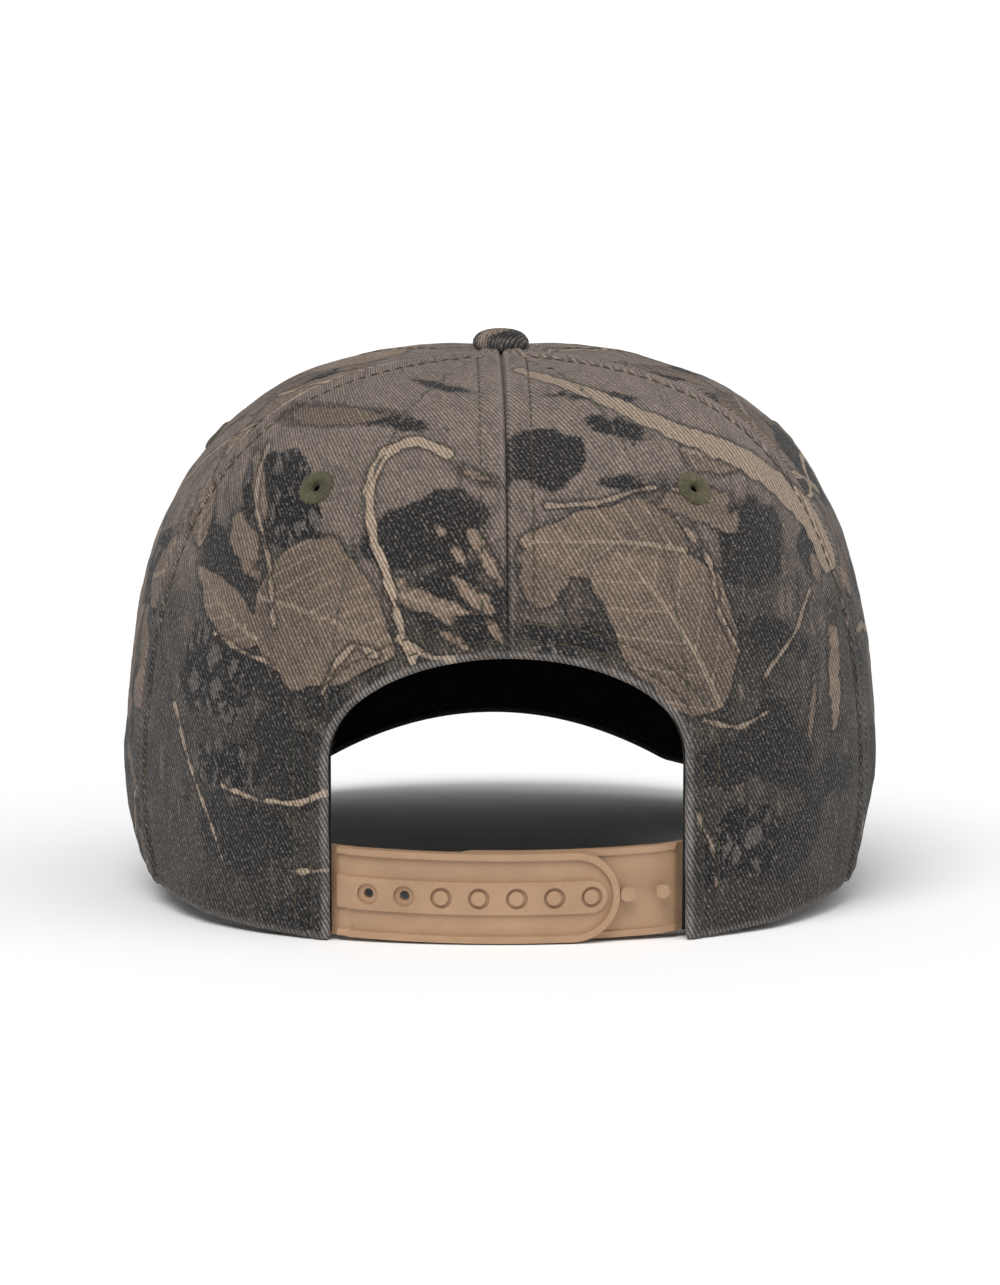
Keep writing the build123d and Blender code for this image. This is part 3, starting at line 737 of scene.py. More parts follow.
def rear_domain():
    """Azimuths and shares of the rear panel's grid, with the arched opening left out."""
    cols_a, cols_b, rows_low, rows_up = 74, 92, 76, 170
    half, rise = OPENING_HALF + FOLD_RADIUS, OPENING_RISE + FOLD_RADIUS
    phi_up, s_up, phi_low, s_low = [], [], [], []
    t = spaced(rows_up, 1.2, 0.0, 0.12)
    for k in spaced(cols_a, 2.0, 0.0, 0.04):
        x, z = half * math.sin(math.pi / 2 * k), OPENING_STRAIGHT + rise * math.cos(math.pi / 2 * k)
        start = azimuth_at(x, z)
        low = share_at_height(start, z)
        up = low + (1 - low) * t
        phi_up.append(start / seam_at(REAR_SEAM, low) * seam_at(REAR_SEAM, up))
        s_up.append(up)
    edge, foot = azimuth_at(half, OPENING_STRAIGHT), azimuth_at(half, 0.0)
    first = FOLD_RADIUS / float(profile_length(edge))
    for k in spaced(cols_b, 1.2, 2.6, 0.05):
        low = share_at_height(edge + (REAR_SEAM[0] - edge) * k, OPENING_STRAIGHT)
        up = first + (low - first) * spaced(rows_low + 1, 1.0, 0.0, 0.08)[:-1]
        way = (up - first) / (low - first)
        hem, mid = mix((foot, REAR_SEAM[0]), k), mix((edge, seam_at(REAR_SEAM, low)), k)
        line = hem + (mid - hem) * way
        line += k * (seam_at(REAR_SEAM, up) - mix((REAR_SEAM[0], seam_at(REAR_SEAM, low)), way))
        exact = np.array([azimuth_at(half, float(table_value(HEIGHTS, *at))) for at in zip(line, up)])
        phi_low.append(line + (exact - mix((foot, edge), way)) * (1 - k) ** 2)
        s_low.append(up)
        if k > 0:
            above = low + (1 - low) * t
            phi_up.append(mid / seam_at(REAR_SEAM, low) * seam_at(REAR_SEAM, above))
            s_up.append(above)
    upper = np.arange(rows_up * len(phi_up)).reshape(rows_up, -1)
    lower = upper.size + np.arange(rows_low * cols_b).reshape(rows_low, cols_b)
    phi, share = (np.concatenate([np.array(up).T.ravel(), np.array(low).T.ravel()])
                  for up, low in ((phi_up, phi_low), (s_up, s_low)))
    joined = np.concatenate([lower, upper[:1, cols_a - 1:]])
    loop = list(upper[0, :cols_a]) + list(lower[::-1, 0]) + list(lower[0, 1:])
    return phi, share, np.concatenate([grid_quads(upper), grid_quads(joined)]), loop


def plain_domain(left, right, cols, rows):
    share, w = np.meshgrid(0.006 + 0.994 * spaced(rows, 1.0, 0.0), spaced(cols, 2.4, 2.4), indexing="ij")
    phi = mix((seam_at(left, share), seam_at(right, share)), w)
    index = np.arange(rows * cols).reshape(rows, cols)
    return phi.ravel(), share.ravel(), grid_quads(index), list(index[0])


def fold_edge(points, normals, uv, loop, faces, side):
    """Turns the cloth under along a loop of boundary vertices; returns the longer arrays."""
    p, n, r = points[loop], normals[loop], FOLD_RADIUS
    out = unit(np.cross(n, np.gradient(p, axis=0)) * side)
    a, b = np.gradient(uv[loop], axis=0).T
    uv_out = unit(np.stack([b, -a], -1))
    steps = [(n * r * (math.cos(k) - 1) + out * r * math.sin(k), r * k) for k in np.linspace(0, np.pi, 10)[1:]]
    steps += [(-n * 2 * r - out * back, r * math.pi + back) for back in (1.5, HEM_FLAP)]
    index = len(points) + np.arange(len(steps) * len(loop)).reshape(len(steps), -1)
    index = np.concatenate([[loop], index])
    rows = [np.stack([a[:-1], b[:-1], b[1:], a[1:]], -1) for a, b in zip(index[:-1], index[1:])]
    points = np.concatenate([points] + [p + move for move, _ in steps])
    uv = np.concatenate([uv] + [uv[loop] + uv_out * run for _, run in steps])
    return points, uv, np.concatenate([faces] + rows), len(steps)


def make_panel(panel, domain, prints, material):
    """Cloth of one panel, turned under at its hem, with a hole behind its eyelet."""
    phi, share, faces, loop = domain
    points, normals, u, v, wear = panel.surface(phi, share)
    side = panel.mirror[0]
    azimuth = EYELETS[panel.name.split("_")[0]]
    centre = panel.surface(np.array([azimuth]), np.array([share_at_height(azimuth, EYELET_LEVEL)]))[0][0]
    faces = faces[np.linalg.norm(points[faces].mean(axis=1) - centre, axis=1) > EYELET_CUT]
    points, uv, faces, turns = fold_edge(points, normals, np.stack([u, v], -1), loop, faces, side)
    fields = {key: np.concatenate([values] + [values[loop]] * turns)
              for key, values in {**print_fields(u, v, prints), "wear": wear}.items()}
    sew(panel.name, points, faces[:, ::-1] if side > 0 else faces, uv, material, FABRIC,
        fields, CLOTH_BACK)


def seen(x, z, origin):
    """Cloth coordinates, on the +X side, of the crown's surface at a sideways place and a height."""
    z = min(z, CROWN_HEIGHT - 0.8)
    azimuth = azimuth_at(x, z)
    share = share_at_height(azimuth, z)
    arc = math.radians(1.0) * float(crown_radius(azimuth, z))
    return (azimuth - seam_at(origin, share)) * arc, share * float(profile_length(azimuth))


def placed(prints, origin):
    """Prints whose places are given sideways and up, moved onto the cloth."""
    moved = {key: [(seen(*place, origin), *shape) for place, *shape in prints[key]]
             for key in ("dark", "bark", "patches", "leaves")}
    moved["twigs"] = [([seen(*c, origin) for c in points], *shape) for points, *shape in prints["twigs"]]
    return moved


# places, then sizes, angles and tones, all in millimetres and degrees
REAR_LEFT_PRINT = placed({
    "dark": [
        ((18, 93), (9, 15), 70), ((10, 77), (13, 7), 10), ((64, 82), (10, 7), 30), ((14, 119), (8, 2.2), 25),
        ((25, 113), (9, 2.5), 10), ((52, 60), (7, 10), 100), ((38, 54), (12, 5), 15), ((48, 40), (12, 12), 20),
        ((60, 22), (14, 9), 5), ((45, 6), (10, 5), 0), ((12, 86), (3, 6), 120), ((44, 88), (10, 3), 10),
        ((30, 62), (4, 3), 0),
    ],
    "bark": [((50, 97), (13, 12), 20), ((67, 58), (11, 15), 90), ((64, 36), (6, 10), 80)],
    "patches": [
        ((15, 93), (1.6, 1.0), 40, 1.0), ((11, 88), (2.6, 1.1), 60, 0.95), ((7, 91), (1.4, 3.6), 150, 0.9),
        ((4, 86), (1.2, 4.4), 150, 0.95), ((9, 80), (4.4, 1.3), 50, 0.9), ((15, 76), (5.0, 1.2), 48, 0.95),
        ((5, 78), (1.3, 3.0), 150, 0.8), ((3, 72), (2.8, 1.1), 60, 0.8), ((20, 78), (1.2, 1.0), 0, 0.9),
        ((24, 82), (1.1, 0.9), 0, 0.9), ((12, 70), (3.4, 1.0), 30, 0.85), ((56, 98), (2.4, 8.5), 160, 0.6),
        ((59, 86), (4.0, 7.0), 150, 0.45), ((7, 104), (3.0, 1.0), 30, 0.5), ((40, 113), (14, 3.2), 170, 0.25),
    ],
    "leaves": [
        ((41, 72), 196, 36, 35, 0.42), ((64, 72), 25, 26, 12, 0.4), ((17, 78.5), 185, 22, 4.6, 0.55),
        ((70, 92), 75, 22, 10, 0.3),
    ],
    "twigs": [
        ([(13.5, 108), (20, 110.5), (28, 107), (31, 100), (30, 91), (26.5, 82), (24, 73), (21, 65)], 2.9, 0.9),
        ([(29, 66), (34, 68), (38, 64), (41, 57)], 1.5, 0.7), ([(24, 70), (18, 66), (12, 66)], 1.8, 0.8),
        ([(39, 35), (47, 31), (56, 30.5), (64, 32)], 1.3, 0.95), ([(39, 17), (46, 15.5), (51, 15)], 1.1, 0.9),
        ([(76, 47), (72, 34), (66, 20), (63, 11)], 1.2, 0.8),
        ([(54, 106), (57, 96), (53, 84), (52, 70)], 1.5, 0.6), ([(66, 66), (59, 63), (53, 62)], 1.0, 0.7),
    ],
}, CENTRE_REAR)
REAR_RIGHT_PRINT = placed({
    "dark": [
        ((6, 107), (9, 12), 85), ((21, 117), (11, 1.8), 165), ((25, 112), (9, 3.0), 150),
        ((27, 102), (2.2, 6), 80), ((12, 70.5), (12, 2.6), 172), ((30, 67), (12, 2.4), 150),
        ((56, 87), (12, 9), 130), ((60, 66), (4, 12), 70), ((72, 84), (6, 9), 110), ((50, 40), (6, 14), 100),
        ((62, 42), (9, 12), 60), ((46, 18), (5, 12), 85), ((66, 18), (10, 8), 30), ((75, 30), (5, 12), 95),
    ],
    "bark": [((55, 20), (9, 9), 60), ((10, 66), (5, 3), 0)],
    "patches": [
        ((76, 54), (2.6, 12), 178, 0.85), ((72, 78), (2.2, 3.0), 20, 0.5), ((44, 96), (12, 4.0), 155, 0.35),
        ((46, 72), (9, 5), 120, 0.15), ((70, 48), (1.0, 7), 170, 0.4), ((7, 83), (6, 5), 90, 0.3),
    ],
    "leaves": [
        ((33, 76), 128, 58, 28, 0.45), ((22, 90), 168, 40, 20, 0.42), ((48, 104), 330, 22, 9, 0.3),
        ((76, 98), 60, 20, 9, 0.4),
    ],
    "twigs": [
        ([(75, 79), (71, 88), (63, 97), (52, 104.5), (40, 110), (28, 114.5), (16, 118.5), (4, 121)], 7.4, 0.70),
        ([(9, 98), (20, 98), (32, 101), (42, 99)], 1.3, 0.5),
        ([(40, 92), (46, 84), (47, 74), (52, 64)], 1.1, 0.6), ([(42, 30), (46, 22), (47, 12)], 1.0, 0.5),
        ([(58, 58), (66, 66), (70, 74)], 1.1, 0.5), ([(44, 50), (52, 47), (60, 50)], 0.9, 0.6),
    ],
}, CENTRE_REAR)

rear_grid = rear_domain()
side_grid = plain_domain(REAR_SEAM, FRONT_SEAM, 190, 200)
front_grid = plain_domain(FRONT_SEAM, CENTRE_FRONT, 150, 200)
side_origin = tuple(sum(pair) / 2 for pair in zip(REAR_SEAM, FRONT_SEAM))
front_origin = tuple(sum(pair) / 2 for pair in zip(FRONT_SEAM, CENTRE_FRONT))
panels = {}
for (word, side), camo, rear_print, seed in zip(
        SIDES, (CAMO_LEFT, CAMO_RIGHT), (REAR_LEFT_PRINT, REAR_RIGHT_PRINT), (0, 50)):
    for name, *spans, first, ridges, grid, prints in (
        ("rear", CENTRE_REAR, REAR_SEAM, CENTRE_REAR, 11, (0.35, 0.62), rear_grid, rear_print),
        ("side", REAR_SEAM, FRONT_SEAM, side_origin, 21, (0.42, 0.42), side_grid,
         random_print(61 + seed, 110, 150)),
        ("front", FRONT_SEAM, CENTRE_FRONT, front_origin, 31, (0.42, 0.35), front_grid,
         random_print(62 + seed, 90, 150)),
    ):
        panel = Panel(f"{name}_panel_{word}", *spans, first + seed, side, ridges, name == "rear")
        panels[panel.name] = panel
        make_panel(panel, grid, prints, camo)


# ---- sewing thread
class Thread:
    """Collects rows of stitches and makes them one piece."""

    def __init__(self):
        self.points, self.faces, self.count = [], [], 0

    def row(self, path, normals, pitch=STITCH_PITCH):
        """Short raised capsules along a path, diving into the cloth at their ends."""
        step = np.linalg.norm(np.diff(path, axis=0), axis=1)
        run = np.concatenate([[0], np.cumsum(step)])
        count = int((run[-1] - STITCH_LENGTH) / pitch)
        if count < 1:
            return
        starts = (run[-1] - (count - 1) * pitch - STITCH_LENGTH) / 2 + pitch * np.arange(count)
        way = np.array([0.0, 0.10, 0.35, 0.65, 0.90, 1.0])
        lift = np.array([-0.30, 0.02, 0.16, 0.16, 0.02, -0.30])
        girth = np.array([0.55, 0.92, 1.0, 1.0, 0.92, 0.55]) * STITCH_RADIUS
        at = starts[:, None] + way[None, :] * STITCH_LENGTH
        place, n = (np.stack([np.interp(at, run, line[:, k]) for k in range(3)], -1)
                    for line in (path, normals))
        t = unit(np.gradient(place, axis=1))
        b = unit(np.cross(t, n))
        n = np.cross(b, t)
        centre = place + n * lift[None, :, None]
        turn = 2 * np.pi * np.arange(6) / 6
        ring = n[:, :, None, :] * np.cos(turn)[:, None] + b[:, :, None, :] * np.sin(turn)[:, None]
        ring = centre[:, :, None, :] + ring * girth[None, :, None, None]
        index = self.count + np.arange(ring[..., 0].size).reshape(ring.shape[:3])
        nxt = np.roll(index, -1, axis=2)
        quads = np.stack([index[:, :-1], nxt[:, :-1], nxt[:, 1:], index[:, 1:]], -1).reshape(-1, 4)
        self.points.append(ring.reshape(-1, 3))
        self.faces += quads.tolist() + index[:, 0, ::-1].tolist() + index[:, -1].tolist()
        self.count += ring[..., 0].size

    def piece(self, name, material=THREAD):
        make_object(name, np.concatenate(self.points), self.faces, material)


def seam_rows(panel, thread):
    """Topstitching along both seams of a panel."""
    share = np.linspace(0.012, 1.0, 500)
    for seam, way in ((panel.left, 1.0), (panel.right, -1.0)):
        phi = seam_at(seam, share)
        for _ in range(3):
            base = crown_point(phi, share)
            r = np.maximum(axis_distance(base), 1.0)
            phi = seam_at(seam, share) + way * STITCH_OFFSET / (np.radians(1.0) * r)
        keep = r > 12.5
        if panel.opening and seam == CENTRE_REAR:
            keep &= opening_distance(base) > 8.5
        points, normals, *_ = panel.surface(phi[keep], share[keep])
        thread.row(points, normals)


def arch_rows(panel, thread, offset):
    """Topstitching round the rear opening at one offset from its edge, on one panel."""
    turn = np.linspace(0.4 / OPENING_HALF, math.pi / 2, 90)
    x = np.concatenate([(OPENING_HALF + offset) * np.sin(turn), np.full(50, OPENING_HALF + offset)])
    z = np.concatenate([
        OPENING_STRAIGHT + (OPENING_RISE + offset) * np.cos(turn), np.linspace(OPENING_STRAIGHT - 0.5, 1.2, 50),
    ])
    phi = np.array([azimuth_at(a, b) for a, b in zip(x, z)])
    share = np.array([share_at_height(a, b) for a, b in zip(phi, z)])
    points, normals, *_ = panel.surface(phi, share)
    thread.row(points, normals, ARCH_STITCH_PITCH)


for word, _ in SIDES:
    thread = Thread()
    for place in EYELETS:
        seam_rows(panels[f"{place}_panel_{word}"], thread)
    for offset in ARCH_ROWS:
        arch_rows(panels["rear_panel_" + word], thread, offset)
    thread.piece("crown_stitching_" + word)


# ---- linings
def sewn_layer(name, phi, share, depth, uv, material, thickness, side):
    """A layer of cloth inside the crown, on a grid of azimuths and shares."""
    points = crown_point(phi, share) - crown_normal(phi, share) * depth[..., None]
    points *= np.array([side, 1.0, 1.0])
    faces = grid_quads(np.arange(phi.size).reshape(phi.shape))
    sew(name, points.reshape(-1, 3), faces[:, ::-1] if side > 0 else faces, uv.reshape(-1, 2), material,
        thickness)


def tape_over(name, seam, depth, start, side=1.0):
    """Tape over the inside of one seam, crowned over the allowance."""
    span = np.linspace(-TAPE_HALF, TAPE_HALF, 21)
    share, across = np.meshgrid(np.linspace(start, 0.93, 150), span, indexing="ij")
    centre = seam_at(seam, share)
    phi = centre + np.degrees(across / np.maximum(axis_distance(crown_point(centre, share)), 9.0))
    v = share * profile_length(centre)
    lift = 0.35 * np.cos(across / TAPE_HALF * np.pi / 2) - 0.18 * bump_at(np.abs(across), TAPE_STITCH, 0.5)
    lift += 0.05 * np.sin(v * 2.1) * bump_at(np.abs(across), TAPE_STITCH, 1.2)
    sewn_layer(name, phi, share, depth + lift, np.stack([across, v], -1), BLACK_TAPE,
               CLOTH_THICKNESS["lining"], side)


def make_buckram(name, side):
    """Stiffener behind a front panel."""
    share, w = np.meshgrid(np.linspace(0.03, 0.92, 90), np.linspace(0.02, 0.995, 60), indexing="ij")
    phi = mix((seam_at(FRONT_SEAM, share), seam_at(CENTRE_FRONT, share)), w)
    arc = np.radians(1.0) * axis_distance(crown_point(phi, share))
    uv = np.stack([(phi - seam_at(front_origin, share)) * arc, share * profile_length(phi)], -1)
    sewn_layer(name, phi, share, np.full(phi.shape, LINING_DEPTH + 0.1), uv, BUCKRAM,
               CLOTH_THICKNESS["buckram"], side)


arch_share = share_at_height(0.0, OPENING_STRAIGHT + OPENING_RISE + 11.3)
tape_over("seam_tape_rear", CENTRE_REAR, LINING_DEPTH, arch_share)
tape_over("seam_tape_front", CENTRE_FRONT, OVER_BUCKRAM, 0.03)
for word, side in SIDES:
    tape_over("seam_tape_side_" + word, REAR_SEAM, LINING_DEPTH, 0.03, side)
    tape_over("seam_tape_front_" + word, FRONT_SEAM, OVER_BUCKRAM, 0.03, side)
    make_buckram("buckram_" + word, side)


def make_arch_binding():
    """Tape turned over the raw edge inside the rear opening."""
    turn = np.concatenate([np.full(40, -1.0), np.linspace(-1, 1, 121), np.full(40, 1.0)]) * math.pi / 2
    leg = np.linspace(OPENING_STRAIGHT - 1.5, 0.6, 40)
    drop = np.concatenate([leg, np.zeros(121), leg[::-1]])
    width = np.linspace(BINDING_FROM, BINDING_TO, 15)
    points = []
    for angle, lower in zip(turn, drop):
        for d in width:
            x = (OPENING_HALF + d) * math.sin(angle)
            z = OPENING_STRAIGHT + (OPENING_RISE + d) * math.cos(angle) - lower
            azimuth = azimuth_at(x, z)
            share = share_at_height(azimuth, z)
            p, n = crown_point(abs(azimuth), share), crown_normal(abs(azimuth), share)
            puff = 0.25 * math.sin(math.pi * (d - BINDING_FROM) / (BINDING_TO - BINDING_FROM))
            points.append((p - n * (LINING_DEPTH + 1.0 + puff)) * np.array([1.0 if x >= 0 else -1.0, 1, 1]))
    uv = np.stack(np.meshgrid(np.arange(len(turn)), width, indexing="ij"), -1).reshape(-1, 2)
    faces = grid_quads(np.arange(len(points)).reshape(len(turn), len(width)))
    sew("arch_binding", np.array(points), faces, uv, BLACK_TAPE,
        CLOTH_THICKNESS["lining"], offset=1.0)


def make_sweatband():
    """Soft band inside the hem: a flattened closed section swept round from one end to the other."""
    azimuths = np.linspace(*SWEATBAND_ENDS, 260)
    section = np.linspace(0, 2 * np.pi, 49)[:-1]
    up = 0.5 - 0.5 * np.cos(section)
    thick = SWEATBAND_HALF * np.abs(np.sin(section)) ** 0.45 * np.sign(np.sin(section))
    points, piping = [], []
    ring = np.linspace(0, 2 * np.pi, 13)[:-1]
    for azimuth in azimuths:
        a = abs(azimuth if azimuth <= 180 else azimuth - 360)
        hem = float(hem_height(a))
        front = hem / float(hem_height(180.0))
        bottom = max(hem - SWEATBAND_DROP * min(1.55 - 0.55 * front, 2.1 * front), 0.4)
        z = bottom + 0.6 + SWEATBAND_HEIGHT * up
        seamed = 0.35 * bump_at(z - bottom, 3.4, 0.5)
        seamed = seamed + 0.12 * math.sin(azimuth * 1.7) * bump_at(z - bottom, 6.0, 3.0)
        soft = 0.18 * waves(np.full(z.shape, azimuth * 1.5), z, 77, 26.0, 2)
        inward = np.clip(thick, 0, None) * (1 - seamed) + soft * (thick > 0)
        points.append(polar(azimuth, crown_radius(a, z) - SWEATBAND_DEPTH - inward, z))
        edge = float(crown_radius(a, bottom)) - 4.0 + PIPING_RADIUS * np.cos(ring)
        piping.append(polar(azimuth, edge, bottom + 0.35 + PIPING_RADIUS * np.sin(ring)))
    count = len(azimuths)
    cover = make_object("sweatband_piping", np.concatenate(piping), tube_faces(count, len(ring)), PIPING)
    add_uv(cover, np.column_stack([np.repeat(azimuths * 1.5, len(ring)), np.tile(ring * PIPING_RADIUS, count)]))
    faces = turned_out(tube_faces(count, len(section)))
    piece = make_object("sweatband_soft", np.concatenate(points), faces, BLACK_TWILL)
    add_uv(piece, np.column_stack([np.repeat(azimuths * 1.5, len(section)), np.tile(section * 11.0, count)]))
    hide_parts("sweatband")
    inside = np.array([p[4] for p in points])
    thread = Thread()
    thread.row(inside, unit(-inside * np.array([1.0, 1.0, 0.0])))
    thread.piece("sweatband_stitching", BLACK_THREAD)


make_arch_binding()
make_sweatband()


# ---- visor
def visor_edge(share, inset):
    """Free edge of the visor in plan, inset by some millimetres; share runs from -1 to 1."""
    limit = math.radians(5.5) - math.radians(1.0) * inset
    turn = math.pi / 2 - (math.pi / 2 + limit) * np.abs(share)
    power = 2 / VISOR_POWER
    x = (VISOR_HALF - inset) * np.abs(np.cos(turn)) ** power
    y = -VISOR_FROM - (VISOR_LENGTH - inset) * np.abs(np.sin(turn)) ** power * np.sign(turn)
    x = x * (1 - VISOR_TAPER * np.maximum(0.0, (y + VISOR_TAPER_FROM) / VISOR_TAPER_REACH) ** 2)
    return np.stack([x * np.where(share >= 0, 1, -1), y], -1)


def visor_back(share):
    azimuth = 180 - 43.0 * np.abs(share)
    back = polar(azimuth, crown_radius(azimuth, hem_height(azimuth)) - 2.8)
    back[:, 0] *= np.where(share >= 0, 1, -1)
    return back


def distance_to(points, line):
    """Plan distance from points to a polyline."""
    best = np.full(len(points), 1e3)
    for a, b in zip(line[:-1], line[1:]):
        d = b - a
        h = np.clip(((points - a) @ d) / max(float(d @ d), 1e-9), 0, 1)
        best = np.minimum(best, np.linalg.norm(points - a - h[:, None] * d, axis=1))
    return best


def make_visor_cover(name, sign, material, seed, prints=None):
    """Upper (sign 1) or lower (-1) cloth of the visor, wrapped half way round its edge."""
    roll = VISOR_THICKNESS / 2
    across = np.linspace(-1, 1, 281)
    edge, back = visor_edge(across, roll), visor_back(across)
    t = np.gradient(edge, axis=0)
    out = unit(np.stack([t[:, 1], -t[:, 0]], -1))
    out *= np.sign(np.sum(out * (edge - np.array([0.0, -VISOR_FROM])), axis=1, keepdims=True))
    plan = np.concatenate([back + (edge - back) * v for v in spaced(90, 0.0, 1.0)])
    from_edge = distance_to(plan, edge) + roll
    height = 0.16 * waves(plan[:, 0], plan[:, 1], seed, 30.0, 3) * smooth(2, 8, from_edge)
    for row in VISOR_ROWS:
        height -= 0.22 * bump_at(from_edge, row, 0.6)
    middle = visor_top(plan[:, 0], plan[:, 1]) - roll
    edge_middle = visor_top(edge[:, 0], edge[:, 1]) - roll
    points = [np.column_stack([plan, middle + sign * roll + sign * (height + VISOR_SKIN)])]
    for k in np.linspace(0, np.pi / 2, 8)[1:]:
        z = edge_middle + sign * (roll * math.cos(k) + VISOR_SKIN * math.cos(k))
        points.append(np.column_stack([edge + out * roll * math.sin(k), z]))
    points.append(np.column_stack([edge + out * (roll - 0.7), edge_middle - sign * 0.02]))
    turned = len(points) - 1
    points = np.concatenate(points)
    faces = grid_quads(np.arange(len(points)).reshape(-1, len(across)))
    # the grid runs from the back to the edge and from -X to +X, so its normals point down
    faces = faces[:, ::-1] if sign > 0 else faces
    run = np.repeat([roll * k for k in np.linspace(0, 1.6, turned)], len(across))
    uv = np.column_stack([points[:, 0], points[:, 1] - np.concatenate([from_edge * 0, run])])
    fields = {}
    if prints:
        beyond = np.concatenate([from_edge, np.zeros(turned * len(across))])
        fields = print_fields(uv[:, 0], uv[:, 1] + VISOR_PRINT_SHIFT, prints)
        fields["wear"] = 0.45 * bump_at(beyond, 0.0, 1.6)
    sew(name, points, faces, uv, material, CLOTH_THICKNESS["visor"], fields)


def visor_stitching():
    """Rows of topstitching that follow the visor's edge, on both faces."""
    for name, sign in (("visor_stitching_upper", 1.0), ("visor_stitching_lower", -1.0)):
        thread = Thread()
        for row in VISOR_ROWS:
            line = visor_edge(np.linspace(-1, 1, 700), row)
            azimuth = np.degrees(np.arctan2(np.abs(line[:, 0]), line[:, 1]))
            r = crown_radius(azimuth, hem_height(azimuth))
            line = line[axis_distance(line) > r + (1.5 if sign > 0 else 0.0)]
            if len(line) < 20:
                continue
            sunk = 0.16 + (0 if sign > 0 else VISOR_THICKNESS - 0.26)
            path = np.column_stack([line, visor_top(line[:, 0], line[:, 1]) + VISOR_SKIN - sunk])
            slope = [line[:, 0] / VISOR_BEND, np.full(len(line), -VISOR_SLOPE), np.ones(len(line))]
            thread.row(path, unit(np.column_stack(slope)) * sign)
        thread.piece(name)


make_visor_cover("visor_upper_cover", 1.0, CAMO_VISOR, 41, random_print(64, 190, 110))
make_visor_cover("visor_lower_cover", -1.0, LINING, 42)
visor_stitching()


# ---- button and eyelets
def make_button_cover():
    """Cloth pulled over a domed shell, with small pleats towards its rim."""
    profile = [(4.6, -0.1), (5.7, 0.05), (6.35, 0.55), (6.62, 1.4), (6.5, 2.4), (5.95, 3.3), (4.9, 4.05),
               (3.4, 4.55), (1.7, 4.78), (0.05, 4.82)]
    rows = relaxed(resampled(profile, 40), 4)
    turn = np.linspace(0, 2 * np.pi, 129)[:-1]
    pleats = 0.10 * np.sin(17 * turn + 1.3) + 0.07 * np.sin(29 * turn) + 0.08 * np.sin(5 * turn + 2.0)
    points = []
    for radius, level in rows:
        grown = radius + pleats * smooth(4.6, 1.2, level) * smooth(3.0, 6.0, radius)
        points.append(np.stack([grown * np.sin(turn), grown * np.cos(turn), np.full(turn.shape, level)], -1))
    points = np.concatenate(points) + np.array([0, 0, CROWN_HEIGHT + 0.1])
    uv = points[:, :2] * (1 + 0.06 * (CROWN_HEIGHT + 4.8 - points[:, 2:]))
    prints = {"dark": [((-3.0, 4.0), (4, 2), 20)], "bark": [], "patches": [((2.0, -2.0), (4, 1.5), 30, 0.4)],
              "leaves": [((3.0, 3.0), 40, 12, 5, 0.3)], "twigs": []}
    wear = 0.3 * bump_at(axis_distance(points), 6.3, 0.5)
    fields = {**print_fields(uv[:, 0], uv[:, 1], prints), "wear": wear}
    faces = turned_out(tube_faces(len(rows), len(turn), start=False))
    sew("button_cover", points, faces, uv, CAMO_LEFT, CLOTH_THICKNESS["button"], fields)


def make_eyelet(place, word, side):
    """Satin-stitched ring: radial threads wrapped over a raised core, through the cloth."""
    azimuth = EYELETS[place]
    share = share_at_height(azimuth, EYELET_LEVEL)
    p, n, *_ = panels[f"{place}_panel_{word}"].surface(np.array([azimuth]), np.array([share]))
    p, n = p[0], n[0]
    e1 = unit(np.cross([0, 0, 1.0], n))
    e2 = np.cross(n, e1)
    rng = np.random.default_rng(700 + int(azimuth) + int(side))
    turn = np.linspace(0, 2 * np.pi, EYELET_THREADS * 6 + 1)[:-1]
    outer = EYELET_OUTER + rng.uniform(-0.28, 0.22, EYELET_THREADS)[np.arange(len(turn)) // 6]
    ridge = np.abs(np.sin(turn * EYELET_THREADS / 2)) ** 0.6
    section = [(1.0, -0.15), (0.93, 0.22), (0.78, 0.52), (0.55, 0.70), (0.32, 0.62), (0.12, 0.32), (0.0, -0.1),
               (0.0, -0.9), (0.12, -1.45), (0.45, -1.7), (0.85, -1.5), (0.9, -1.0)]
    around = e1 * np.cos(turn)[:, None] + e2 * np.sin(turn)[:, None]
    rings = []
    for way, level in section:
        radius = EYELET_INNER + (outer - EYELET_INNER) * way
        lift = level + 0.15 * (ridge - 0.6) * (1 if level > -0.5 else -1) + 0.05 * np.sin(3 * turn + azimuth)
        rings.append(p + around * radius[:, None] + n * lift[:, None])
    index = np.arange(len(rings) * len(turn)).reshape(len(rings), -1)
    index = np.concatenate([index, index[:1]])
    faces = grid_quads(np.concatenate([index, index[:, :1]], axis=1))
    piece = make_object(f"eyelet_{place}_{word}_thread", np.concatenate(rings), faces, EYELET_THREAD)
    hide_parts(f"eyelet_{place}_{word}")


make_button_cover()
for word, side in SIDES:
    for place in EYELETS:
        make_eyelet(place, word, side)

# ---- carried-over CAD nodes: their finished materials, and softened edges in mm
for node, material, bevel in (
    ("outer_strap", STRAP, 0.22), ("inner_strap", STRAP, 0.18), ("outer_strap_tab", STRAP, 0.2),
    ("inner_strap_tab", STRAP, 0.2), ("visor_board", BOARD, 0.0), ("button_shell", METAL, 0.1),
    ("button_rivet", METAL, 0.1),
):
    piece = bpy.data.objects[node]
    piece.data.materials.clear()
    piece.data.materials.append(material)
    if bevel:
        m = piece.modifiers.new("moulded edges", "BEVEL")
        m.width, m.segments, m.limit_method, m.angle_limit = bevel * MM, 3, "ANGLE", math.radians(40)
        m.harden_normals = False
        piece.modifiers.new("weighted shading", "WEIGHTED_NORMAL").keep_sharp = True


